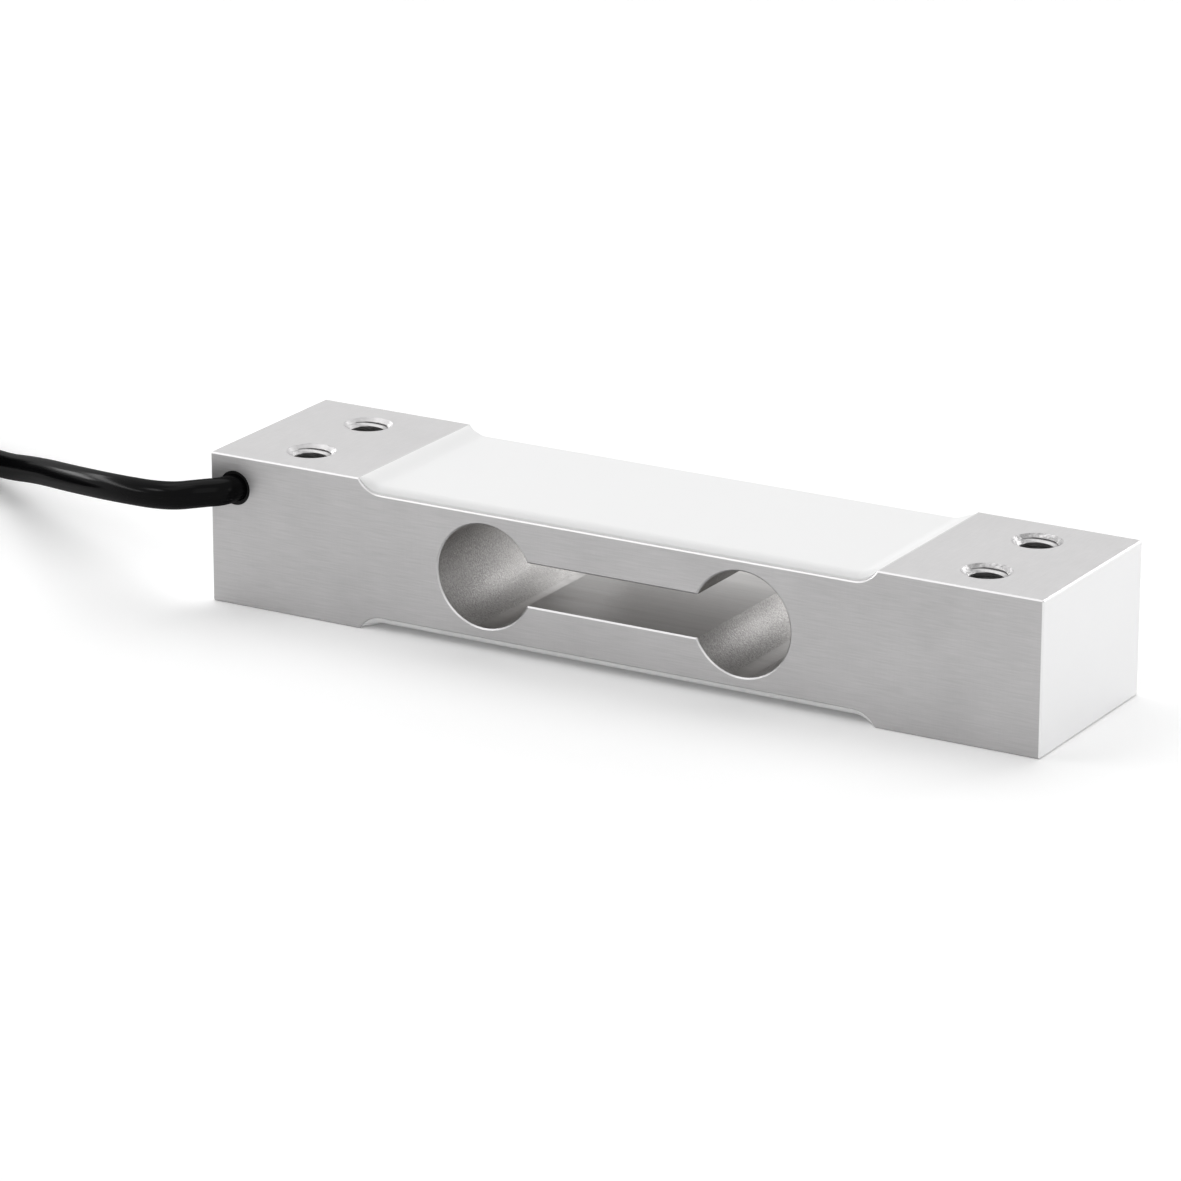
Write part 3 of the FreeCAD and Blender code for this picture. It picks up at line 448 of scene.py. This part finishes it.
# Places of the beam's finishes in its list of materials
(
    MILLED_SIDE, MILLED_PAD, MILLED_END_PAINTED_LIGHT, BORED_WALL, CUT_THREAD,
    EDGE_PAINTED_HIGHLIGHT, LEFT_MOUTH, RIGHT_MOUTH, MILLED_SLOT,
) = range(9)


def hole_centres(beam):
    across = beam.hole_pitch / 2
    along = BEAM_HIGH.x - beam.hole_inset
    return [(x, y) for x in (-along, along) for y in (-across, across)]


def thread_rows(beam, low, high):
    """Radius and height down the wall: close together near the mouths, one thread form apart between them."""
    pitch = beam.thread_pitch
    root = beam.thread_major
    crest = beam.thread_minor
    form = [(0.0, root), (ROOT_END, root), (CREST_START, crest), (CREST_END, crest), (1.0, root)]

    def radius_at(height):
        share = (height / pitch) % 1.0
        for (start, first), (end, last) in zip(form, form[1:]):
            if start <= share <= end:
                return first + (last - first) * (share - start) / (end - start)
        return root

    close_shares = [step / CLOSE_ROWS for step in range(CLOSE_ROWS)]
    form_shares = [share for share, radius in form[:-1]]
    heights = []
    for turn in range(-2, int((high - low) / pitch) + 3):
        base = low + turn * pitch
        near = base < low + LOWER_TURNS * pitch or base > high - UPPER_TURNS * pitch
        heights += [base + share * pitch for share in (close_shares if near else form_shares)]
    return [(radius_at(height - low), height) for height in heights]


def thread_wall(bm, centre, beam):
    """Helical wall of one tapped hole, with its bevelled mouths."""
    low = BEAM_LOW.z
    high = BEAM_HIGH.z
    pitch = beam.thread_pitch
    rows = thread_rows(beam, low, high)
    verts = [bm.verts.new((centre[0] + radius, centre[1], height)) for radius, height in rows]
    edges = [bm.edges.new(pair) for pair in zip(verts, verts[1:])]
    steps = beam.thread_steps
    before = set(bm.faces)
    bmesh.ops.spin(
        bm, geom=verts + edges, cent=(centre[0], centre[1], 0.0), axis=(0, 0, 1),
        dvec=(0, 0, pitch / steps), angle=2 * math.pi, steps=steps)
    faces = [face for face in bm.faces if face not in before]
    wall = dict.fromkeys(vert for face in faces for vert in face.verts)
    bmesh.ops.remove_doubles(bm, verts=list(wall), dist=WELD)
    # The thread runs on past both faces of the beam, and is cut off level with them.
    for height, way in ((low, -1), (high, 1)):
        faces = [face for face in bm.faces if face not in before]
        geom = dict.fromkeys(faces)
        for face in faces:
            geom.update(dict.fromkeys([*face.verts, *face.edges]))
        bmesh.ops.bisect_plane(
            bm, geom=list(geom), dist=SLIVER, plane_co=(0, 0, height), plane_no=(0, 0, way),
            clear_outer=True)
    # The bevelled mouths: points inside the bevel's cone move out to it.
    faces = [face for face in bm.faces if face not in before]
    cone_verts = set()
    for vert in {vert for face in faces for vert in face.verts}:
        offset = Vector((vert.co.x - centre[0], vert.co.y - centre[1]))
        depth = min(high - vert.co.z, vert.co.z - low)
        cone = beam.thread_mouth - depth
        if cone > offset.length - FLUSH:
            cone_verts.add(vert)
        if cone > offset.length:
            offset = offset.normalized() * cone
            vert.co.x = centre[0] + offset.x
            vert.co.y = centre[1] + offset.y
    mouth = RIGHT_MOUTH if centre[0] > 0 else LEFT_MOUTH
    for face in faces:
        face.material_index = mouth if all(vert in cone_verts for vert in face.verts) else CUT_THREAD
    # The wall is open at both ends, so the side that it faces is checked.
    bmesh.ops.recalc_face_normals(bm, faces=faces)
    middle = faces[0].calc_center_median()
    inward = Vector((centre[0] - middle.x, centre[1] - middle.y, 0.0))
    if faces[0].normal.dot(inward) < 0:
        bmesh.ops.reverse_faces(bm, faces=faces)
    return faces


def near_axis(vert, centre, reach):
    return math.hypot(vert.co.x - centre[0], vert.co.y - centre[1]) < reach


def open_hole(bm, centre, beam):
    """Takes the plain wall out of one hole and returns the edges round its two mouths."""
    reach = beam.thread_mouth + MOUTH_SLACK
    wall = [face for face in bm.faces if all(near_axis(vert, centre, reach) for vert in face.verts)]
    bmesh.ops.delete(bm, geom=wall, context="FACES")
    return [edge for edge in bm.edges
            if edge.is_boundary and all(near_axis(vert, centre, reach) for vert in edge.verts)]


def close_mouths(bm, rims, wall):
    """Joins a threaded wall to the beam's two faces."""
    border = dict.fromkeys(
        edge for face in wall if face.is_valid for edge in face.edges if edge.is_boundary)
    for height in (BEAM_LOW.z, BEAM_HIGH.z):
        ring = [edge for edge in [*rims, *border]
                if edge.is_valid and all(abs(vert.co.z - height) < FLUSH for vert in edge.verts)]
        bmesh.ops.bridge_loops(bm, edges=ring)


# Beam

# How square a face stands to an axis when it is one of the beam's flat faces, or of the slot's
FLAT_FACE = 0.95
SLOT_FACE = 0.99

# How far in from the beam's outer faces its broken edges reach
EDGE_BREAK_REACH = 0.25 * MM


def beam_materials(beam):
    """The beam's finishes, in the order of their named places."""
    colour = tuple(beam.colour)
    bore_shade_colour = tuple(beam.bore_shade_colour)
    return [
        milled(
            "milled_side", colour, stretch=(200.0, 5200.0, 4700.0), contrast=0.42, roughness=0.42,
            relief=0.30, mottle=0.22, cross=(5200.0, 5200.0, 200.0), cross_contrast=0.08),
        # The pads are a slightly darker copy of the metal: painted shade on the top faces.
        milled(
            "milled_pad_painted_shade", shaded(colour, 0.97), stretch=(4600.0, 300.0, 4600.0), contrast=0.22, roughness=0.40,
            relief=0.25, mottle=0.10, cross=(300.0, 5200.0, 5200.0), cross_contrast=0.10),
        # The end faces: painted light, a far brighter colour than the rest of the same metal.
        milled(
            "milled_end_painted_light", tuple(beam.end_painted_light_colour), stretch=(3000.0, 500.0, 3000.0), contrast=0.02,
            roughness=0.50, relief=0.05, mottle=0.02),
        # Painted shade: the bored walls take the darker bore colour.
        stippled("bored_wall_painted_shade", bore_shade_colour, roughness=0.45, scale=3600.0, contrast=1.25, relief=1.0),
        # The threads are a darker copy of the metal: painted shade inside the tapped holes.
        stippled("cut_thread_painted_shade", shaded(colour, 0.72), roughness=0.36, scale=2500.0, contrast=0.4, relief=0.3),
        # Painted highlight: the broken edges and the pad strips are coloured brighter than the metal.
        plain("edge_painted_highlight", tuple(beam.edge_highlight_colour), 0.38, metallic=1.0, contrast=0.08, scale=900.0),
        stippled("countersink", colour, roughness=0.44, scale=1800.0, contrast=0.3, relief=0.3),
        stippled(
            "burred_countersink", shaded(colour, 0.85), roughness=0.30, scale=1300.0, contrast=1.8, relief=2.4),
        # The slot floor: real milling lines, with the painted shade of the darker bore colour.
        milled(
            "milled_slot_painted_shade", bore_shade_colour, stretch=(40.0, 480.0, 480.0), contrast=0.8, roughness=0.34,
            relief=0.9, mottle=0.12),
    ]


def beam_zone(face, beam):
    """Which finish a face of the beam has."""
    normal = face.normal
    middle = face.calc_center_median()
    if abs(normal.y) > FLAT_FACE and abs(middle.y) > BEAM_HIGH.y - FLUSH:
        return MILLED_SIDE
    if abs(normal.x) > FLAT_FACE and abs(middle.x) > BEAM_HIGH.x - FLUSH:
        return MILLED_END_PAINTED_LIGHT
    if abs(normal.z) > FLAT_FACE and (middle.z > BEAM_HIGH.z - FLUSH or middle.z < BEAM_LOW.z + FLUSH):
        # A flat strip at the pad's inner edge gets the painted edge highlight.
        in_highlight_strip = abs(middle.x) < beam.pad_start + beam.highlight_strip_width
        return EDGE_PAINTED_HIGHLIGHT if in_highlight_strip else MILLED_PAD
    at_side = abs(middle.y) > BEAM_HIGH.y - EDGE_BREAK_REACH
    at_end = abs(middle.x) > BEAM_HIGH.x - EDGE_BREAK_REACH
    upright = abs(normal.z) < 0.5
    if at_end and upright:
        return MILLED_END_PAINTED_LIGHT
    # The broken edges take the painted edge highlight.
    if at_side or at_end:
        return EDGE_PAINTED_HIGHLIGHT
    return MILLED_SLOT if abs(normal.z) > SLOT_FACE else BORED_WALL


class LOADCELL_OT_beam(Operator):
    """Make the machined beam with its four tapped holes"""
    bl_idname = "loadcell.beam"
    bl_label = "Machined Beam"

    def execute(self, context):
        beam = context.scene.loadcell_beam
        bm = merged_copy("beam_body")
        # The cut marks off the flat strip that takes the painted edge highlight.
        cut_across(bm, (1, 0, 0), [beam.pad_start + beam.highlight_strip_width])
        bm.normal_update()
        for face in bm.faces:
            face.material_index = beam_zone(face, beam)
        rims = [(centre, open_hole(bm, centre, beam)) for centre in hole_centres(beam)]
        for centre, rim in rims:
            wall = thread_wall(bm, centre, beam)
            close_mouths(bm, rim, wall)
        piece = finish_mesh(bm, "machined_beam", beam_materials(beam))
        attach(piece, "root")
        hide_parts("beam_body")
        return {"FINISHED"}


# Covers

# How many strips the rounded sides and the rises to the pads are cut into
SIDE_STRIPS = 10
END_STRIPS = 14

# How far the skin stays below the pads where it meets them
PAD_STEP = 0.02 * MM

# A face whose normal rises by more than this share belongs to a cover's outside
OUTSIDE_RISE = 0.15

# A face whose normal points sideways by more than this share belongs to one of its long sides
SIDE_TURN = 0.99


def join_sides(bm):
    """Makes one face of each of the mesh's two long sides."""
    bm.normal_update()
    for way in (-1, 1):
        faces = [face for face in bm.faces if face.normal.y * way > SIDE_TURN]
        bmesh.ops.dissolve_faces(bm, faces=faces)


def recess_height(along, cover):
    """Height of the recess floor above the floor's level part, at this distance from the middle."""
    curve_start = cover.recess_end - math.sqrt(
        cover.corner_radius ** 2 - (cover.corner_radius - cover.recess_depth) ** 2)
    past = min(max(along - curve_start, 0.0), cover.recess_end - curve_start)
    return cover.corner_radius - math.sqrt(cover.corner_radius ** 2 - past ** 2)


def skin_height(along, across, cover):
    """Height of the skin: level in the middle, up to the pads at its ends, rounded off at its sides."""
    floor = recess_height(along, cover)
    rise_start = cover.recess_end - cover.end_run
    risen = smooth_step(min(max((along - rise_start) / cover.end_run, 0.0), 1.0))
    crest = cover.thickness + (cover.recess_depth - PAD_STEP - cover.thickness) * risen
    inside = min(max((cover.half_width - across) / cover.side_run, 0.0), 1.0)
    round_off = 1 - (1 - inside) ** 2
    edge_share = cover.edge_thickness / cover.thickness
    full = max(crest - floor, 0.0)
    return min(floor + full * (edge_share + (1 - edge_share) * round_off), cover.recess_depth)


class LOADCELL_OT_covers(Operator):
    """Make the two moulded covers, smoothly rounded over the solids' own undersides"""
    bl_idname = "loadcell.covers"
    bl_label = "Moulded Covers"

    def execute(self, context):
        cover = context.scene.loadcell_cover
        silicone = plain("white_silicone", tuple(cover.colour), 0.45, contrast=0.02, scale=40.0)
        side_cuts = [cover.half_width - cover.side_run * (step / SIDE_STRIPS) ** 2
                     for step in range(1, SIDE_STRIPS + 1)]
        end_cuts = [cover.recess_end - cover.end_run * step / END_STRIPS for step in range(1, END_STRIPS + 1)]
        for side, way in (("top", 1), ("bottom", -1)):
            node = "{}_gauge_cover".format(side)
            bm = merged_copy(node)
            join_sides(bm)
            cut_across(bm, (0, 1, 0), side_cuts)
            cut_across(bm, (1, 0, 0), end_cuts)
            bm.normal_update()
            pad_level = BEAM_HIGH.z if side == "top" else BEAM_LOW.z
            level = pad_level - way * cover.recess_depth
            outside = {vert for face in bm.faces if face.normal.z * way > OUTSIDE_RISE for vert in face.verts}
            for vert in outside:
                height = skin_height(abs(vert.co.x), abs(vert.co.y), cover)
                vert.co.z = level + way * height
            piece = finish_mesh(bm, "{}_cover_skin".format(side), [silicone], 50.0)
            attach(piece, "root")
            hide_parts(node)
        return {"FINISHED"}


# Cable

# The free cable's route from inside its bore down to the floor, in millimetres.
CABLE_ROUTE = [
    (-61.0, -12.2, 17.3),
    (-61.0, -16.8, 17.3),
    (-63.4, -19.2, 17.3),
    (-68.4, -21.0, 16.42),
    (-79.1, -18.1, 15.2),
    (-94.7, -7.5, 11.4),
    (-107.3, 2.8, 7.8),
    (-121.5, 12.9, 3.6),
    (-137.4, 22.1, 2.0),
]

# The cable's tail from the top of the coil back to the floor: distance along, and height.
TAIL_ROUTE = [
    (8.0, 10.2),
    (16.0, 10.2),
    (30.0, 2.4),
    (42.0, 2.4),
]

# Colours of the four leads and of the cores that they carry on from
CORE_COLOURS = {
    "red": (0.55, 0.02, 0.02),
    "black": (0.012, 0.012, 0.012),
    "green": (0.03, 0.28, 0.07),
    "white": (0.80, 0.80, 0.78),
}

# The coil's course in shares of a turn: where it starts to climb to the next layer, and how long it climbs
CLIMB_START = 265 / 360
CLIMB_RUN = 60 / 360

# Control points in one turn of the coil, and steps of the cord between two of them and round itself
COIL_POINTS_PER_TURN = 18
CORD_STEPS = 10
CORD_RING_STEPS = 8


def coil_frame(cable):
    """Middle of the coil and the angle at which the cable comes into it."""
    start = Vector(CABLE_ROUTE[-1]) * MM
    before = Vector(CABLE_ROUTE[-2]) * MM
    heading = (start - before).to_2d().normalized()
    inward = Vector((-heading.y, heading.x))
    centre = start.to_2d() + inward * cable.coil_radius
    first = math.atan2(-inward.y, -inward.x)
    return centre, first


def coil_height(turn, cable):
    """Height of the cable's middle after so many turns, with a smooth climb at each layer's end."""
    whole = math.floor(turn)
    climbed = smooth_step(min(max((turn - whole - CLIMB_START) / CLIMB_RUN, 0.0), 1.0))
    return cable.diameter / 2 + (whole + climbed) * cable.layer_rise


def coil_points(cable):
    """Control points of the coil, far enough out for the curve between them to keep the coil's radius."""
    centre, first = coil_frame(cable)
    radius = cable.coil_radius / math.cos(math.pi / COIL_POINTS_PER_TURN)
    count = int(round(cable.coil_angle / (2 * math.pi) * COIL_POINTS_PER_TURN))
    points = []
    for number in range(1, count + 1):
        angle = first + 2 * math.pi * number / COIL_POINTS_PER_TURN
        height = coil_height(number / COIL_POINTS_PER_TURN, cable)
        points.append(Vector((
            centre.x + radius * math.cos(angle), centre.y + radius * math.sin(angle), height)))
    return points


def coil_leave(cable):
    """Where the cable leaves the coil, and which way it heads there."""
    centre, first = coil_frame(cable)
    last = first + cable.coil_angle
    leave = centre + Vector((math.cos(last), math.sin(last))) * cable.coil_radius
    return leave, Vector((-math.sin(last), math.cos(last)))


def spline_curve(name, points, radius, material):
    curve = bpy.data.curves.new(name, "CURVE")
    curve.dimensions = "3D"
    curve.bevel_depth = radius
    curve.bevel_resolution = CORD_RING_STEPS
    curve.resolution_u = CORD_STEPS
    curve.use_fill_caps = True
    spline = curve.splines.new("NURBS")
    spline.points.add(len(points) - 1)
    for item, place in zip(spline.points, points):
        item.co = (*place, 1.0)
    spline.order_u = 3
    spline.use_endpoint_u = True
    curve.materials.append(material)
    piece = bpy.data.objects.new(name, curve)
    bpy.context.collection.objects.link(piece)
    return piece


def jacket_material(cable):
    colour = tuple(cable.colour)
    material, shader = new_material("cable_jacket_black", colour, 0.6)
    shader.inputs["Specular IOR Level"].default_value = 0.0
    shader.inputs["Coat Weight"].default_value = 0.12
    shader.inputs["Coat Roughness"].default_value = 0.16
    shader.inputs["Coat IOR"].default_value = 1.5
    tree = material.node_tree
    cloud = place_group(tree, "Mottle", object_vector(tree), {"Scale": 500.0, "Contrast": 0.3})
    tree.links.new(toned(tree, colour, [cloud.outputs["Tone"]]), shader.inputs["Base Color"])
    return material


class LOADCELL_OT_cable(Operator):
    """Lay the free cable from its bore to its stripped end"""
    bl_idname = "loadcell.cable"
    bl_label = "Cable"

    def execute(self, context):
        cable = context.scene.loadcell_cable
        route = [Vector(point) * MM for point in CABLE_ROUTE]
        leave, heading = coil_leave(cable)
        tail = [Vector((leave.x + heading.x * along * MM, leave.y + heading.y * along * MM, height * MM))
                for along, height in TAIL_ROUTE]
        points = route + coil_points(cable) + tail
        piece = spline_curve("signal_cable", points, cable.diameter / 2, jacket_material(cable))
        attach(piece, "root")
        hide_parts("cable_jacket", "cable_coil", "cable_tail")
        ends = make_cable_end()
        return {"FINISHED"}


def make_cable_end():
    """The stripped end keeps its solids, with better finishes."""
    finishes = {
        "end_sleeve": plain("sleeve_black", (0.014, 0.014, 0.015), 0.42, contrast=0.3, scale=900.0),
        "tinned_ends": plain("tinned_copper", (0.62, 0.61, 0.58), 0.28, 1.0, 0.15, 2500.0),
        "drain_wire": plain("drain_strands", (0.60, 0.59, 0.56), 0.32, 1.0, 0.2, 2500.0),
    }
    for colour, value in CORE_COLOURS.items():
        finishes["lead_{}".format(colour)] = plain("lead_{}".format(colour), value, 0.35, contrast=0.1)
    for node, material in finishes.items():
        dress_node(node, material)
    return [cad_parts[node] for node in finishes]


def dress_node(node, material):
    """Gives a node that keeps its solid one finish all over."""
    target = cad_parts[node]
    if not target.data.materials:
        target.data.materials.append(material)
    for slot in target.material_slots:
        slot.material = material


# Seal

class LOADCELL_OT_seal(Operator):
    """Give the rubber seal in the mouth of the cable bore its finish"""
    bl_idname = "loadcell.seal"
    bl_label = "Cable Seal"

    def execute(self, context):
        rubber = plain("seal_rubber", (0.006, 0.006, 0.006), 0.45, contrast=0.3, scale=1500.0, gloss=0.12)
        dress_node("cable_seal", rubber)
        return {"FINISHED"}


# Pieces under the covers and in the cable bore

class LOADCELL_OT_inside(Operator):
    """Give the gauges, boards, solder and wires their finishes"""
    bl_idname = "loadcell.inside"
    bl_label = "Inner Parts"

    def execute(self, context):
        carrier = plain("gauge_film", (0.62, 0.40, 0.12), 0.3)
        foil = plain("gauge_foil", (0.60, 0.50, 0.36), 0.3, 1.0)
        board = plain("board_green", (0.03, 0.20, 0.08), 0.4)
        copper = plain("board_copper", (0.72, 0.40, 0.22), 0.3, 1.0)
        ceramic = plain("resistor_ceramic", (0.05, 0.05, 0.06), 0.4)
        solder = plain("solder", (0.66, 0.66, 0.68), 0.3, 1.0)
        wire = plain("enamelled_wire", (0.45, 0.20, 0.08), 0.3, 0.5)
        brass = plain("crimp_brass", (0.70, 0.52, 0.24), 0.3, 1.0)
        resin = plain("potting_resin", (0.10, 0.09, 0.08), 0.4)
        braid = plain("shield_braid", (0.60, 0.59, 0.56), 0.35, 1.0)
        for side in ("top", "bottom"):
            for end in ("left", "right"):
                dress_node("gauge_{}_{}_carrier".format(side, end), carrier)
                dress_node("gauge_{}_{}_grid".format(side, end), foil)
            dress_node("{}_terminal_board".format(side), board)
            dress_node("{}_solder_pads".format(side), copper)
            dress_node("{}_solder_joints".format(side), solder)
            dress_node("{}_bridge_wires".format(side), wire)
        dress_node("zero_balance_resistor", ceramic)
        dress_node("span_resistors", ceramic)
        dress_node("link_wires", wire)
        dress_node("core_conductors", braid)
        dress_node("crimp_ring", brass)
        dress_node("bore_potting", resin)
        dress_node("cable_shield", braid)
        for colour, value in CORE_COLOURS.items():
            dress_node("core_{}".format(colour), plain("core_{}".format(colour), value, 0.35))
        return {"FINISHED"}


# Camera

class LOADCELL_OT_camera(Operator):
    """Place the camera at the photograph's viewing angle"""
    bl_idname = "loadcell.camera"
    bl_label = "Camera"

    def execute(self, context):
        view = context.scene.loadcell_camera
        turn = view.azimuth
        rise = view.elevation
        back = Vector((math.sin(turn) * math.cos(rise), -math.cos(turn) * math.cos(rise), math.sin(rise)))
        level = Vector((math.cos(turn), math.sin(turn), 0.0))
        upright = back.cross(level)
        right = level * math.cos(view.roll) + upright * math.sin(view.roll)
        up = back.cross(right)
        data = bpy.data.cameras.new("camera")
        data.lens = view.lens
        data.sensor_width = 36.0
        data.clip_start = 0.02
        data.clip_end = 20.0
        camera = bpy.data.objects.new("camera", data)
        camera.matrix_world = Matrix.Translation(view.place) @ Matrix((right, up, back)).transposed().to_4x4()
        context.collection.objects.link(camera)
        context.scene.camera = camera
        return {"FINISHED"}


# Stage

# Light of the sky: where it comes from, how wide it spreads in degrees, and its strength
SKY_FROM = (-0.30, 0.40, 1.0)
SKY_SPREAD = 58.0
SKY_STRENGTH = 1.42

# The soft lamps: where each hangs, what it faces, its size in metres and its power in watts
LAMPS = {
    "edge_box": ((-0.45, -0.3, 0.78), (0.0, 0.0, 0.0), (0.45, 0.45), 0.9),
    "front_box": ((0.4, -0.75, 0.7), (0.0, 0.0, 0.0), (0.8, 0.7), 1.6),
    "right_box": ((0.9, 0.38, 0.25), (0.06, 0.0, 0.01), (0.6, 0.4), 2.2),
    "back_box": ((0.32, 0.85, 0.42), (0.0, 0.0, 0.01), (0.36, 0.26), 1.1),
    "cable_box": ((-0.95, 0.05, 0.26), (-0.1, 0.0, 0.02), (1.1, 0.09), 2.2),
    "low_cable_box": ((-1.0, 0.38, 0.13), (-0.1, 0.0, 0.01), (0.3, 0.07), 0.7),
    "high_cable_box": ((-0.85, -0.4, 0.58), (-0.08, -0.02, 0.02), (0.3, 0.12), 0.9),
}

# Strength of the world's light on the pieces, and how much more of it the camera sees
WORLD_LIGHT = 0.2
WORLD_SEEN = 0.8

# Strength of the glow that lifts the seen floor to white, and the floor's drop below the part
FLOOR_GLOW = 0.14
FLOOR_DROP = 0.02 * MM


def seen_factor(tree):
    """One for what the camera, a mirror or clear glass sees, and nought for other light."""
    path = tree.nodes.new("ShaderNodeLightPath")
    first = math_node(tree, "MAXIMUM", path.outputs["Is Camera Ray"], path.outputs["Is Glossy Ray"])
    return math_node(tree, "MAXIMUM", first, path.outputs["Is Transmission Ray"])


def floor_material(stage):
    material, shader = new_material("pale_floor", tuple(stage.floor_colour), 0.9)
    shader.inputs["Specular IOR Level"].default_value = 0.0
    tree = material.node_tree
    glow = tree.nodes.new("ShaderNodeEmission")
    tree.links.new(math_node(tree, "MULTIPLY", seen_factor(tree), FLOOR_GLOW), glow.inputs["Strength"])
    both = tree.nodes.new("ShaderNodeAddShader")
    tree.links.new(shader.outputs[0], both.inputs[0])
    tree.links.new(glow.outputs[0], both.inputs[1])
    tree.links.new(both.outputs[0], tree.nodes["Material Output"].inputs["Surface"])
    return material


def hang(lamp, toward):
    """Turns a lamp to face this way and puts it into the scene."""
    lamp.rotation_mode = "QUATERNION"
    lamp.rotation_quaternion = Vector(toward).to_track_quat("-Z", "Y")
    bpy.context.collection.objects.link(lamp)


def soft_sun(name, come_from, spread, strength):
    """Even light from one side of the sky, as from a large diffuser."""
    data = bpy.data.lights.new(name, "SUN")
    data.angle = math.radians(spread)
    data.energy = strength
    hang(bpy.data.objects.new(name, data), -Vector(come_from))


def area_lamp(name, place, target, size, power):
    data = bpy.data.lights.new(name, "AREA")
    data.shape = "RECTANGLE"
    data.size = size[0]
    data.size_y = size[1]
    data.energy = power
    lamp = bpy.data.objects.new(name, data)
    lamp.location = place
    hang(lamp, Vector(target) - Vector(place))


class LOADCELL_OT_stage(Operator):
    """Lay the pale floor and set the soft lamps"""
    bl_idname = "loadcell.stage"
    bl_label = "Stage"

    def execute(self, context):
        stage = context.scene.loadcell_stage
        bm = bmesh.new()
        bmesh.ops.create_circle(bm, cap_ends=True, segments=96, radius=stage.floor_radius)
        bmesh.ops.translate(bm, verts=bm.verts, vec=(0, 0, -FLOOR_DROP))
        floor = finish_mesh(bm, "floor", [floor_material(stage)])
        world = bpy.data.worlds.new("studio")
        world.use_nodes = True
        tree = world.node_tree
        background = tree.nodes["Background"]
        background.inputs["Color"].default_value = (1.0, 1.0, 1.0, 1.0)
        gain = math_node(tree, "MULTIPLY", seen_factor(tree), WORLD_SEEN)
        tree.links.new(math_node(tree, "ADD", gain, WORLD_LIGHT), background.inputs["Strength"])
        context.scene.world = world
        soft_sun("overhead_sky", SKY_FROM, SKY_SPREAD, SKY_STRENGTH)
        for name, (place, target, size, power) in LAMPS.items():
            area_lamp(name, place, target, size, power)
        context.scene.view_settings.view_transform = "Standard"
        return {"FINISHED"}


# Panel

class LOADCELL_PT_panel(Panel):
    """Lists the pieces of the load cell and their sizes"""
    bl_label = "Load Cell"
    bl_idname = "LOADCELL_PT_panel"
    bl_space_type = "VIEW_3D"
    bl_region_type = "UI"
    bl_category = "Load Cell"

    def draw(self, context):
        scene = context.scene
        for operator, group in PANEL_ROWS:
            box = self.layout.box()
            box.operator(operator)
            if group:
                settings = getattr(scene, group)
                for name in settings.bl_rna.properties.keys():
                    if name not in ("rna_type", "name"):
                        box.prop(settings, name)


PANEL_ROWS = [
    ("loadcell.camera", "loadcell_camera"),
    ("loadcell.cable", "loadcell_cable"),
    ("loadcell.seal", None),
    ("loadcell.beam", "loadcell_beam"),
    ("loadcell.covers", "loadcell_cover"),
    ("loadcell.inside", None),
    ("loadcell.stage", "loadcell_stage"),
]

SETTINGS = {
    "loadcell_camera": LOADCELL_PG_camera,
    "loadcell_beam": LOADCELL_PG_beam,
    "loadcell_cover": LOADCELL_PG_cover,
    "loadcell_cable": LOADCELL_PG_cable,
    "loadcell_stage": LOADCELL_PG_stage,
}

CLASSES = [
    *SETTINGS.values(),
    LOADCELL_OT_camera,
    LOADCELL_OT_cable,
    LOADCELL_OT_seal,
    LOADCELL_OT_beam,
    LOADCELL_OT_covers,
    LOADCELL_OT_inside,
    LOADCELL_OT_stage,
    LOADCELL_PT_panel,
]


def register():
    for item in CLASSES:
        bpy.utils.register_class(item)
    for name, group in SETTINGS.items():
        setattr(bpy.types.Scene, name, PointerProperty(type=group))


def unregister():
    for name in SETTINGS:
        delattr(bpy.types.Scene, name)
    for item in reversed(CLASSES):
        bpy.utils.unregister_class(item)


def main():
    register()
    bpy.ops.loadcell.camera()
    bpy.ops.loadcell.cable()
    bpy.ops.loadcell.seal()
    bpy.ops.loadcell.beam()
    bpy.ops.loadcell.covers()
    bpy.ops.loadcell.inside()
    bpy.ops.loadcell.stage()


if __name__ == "__main__":
    main()
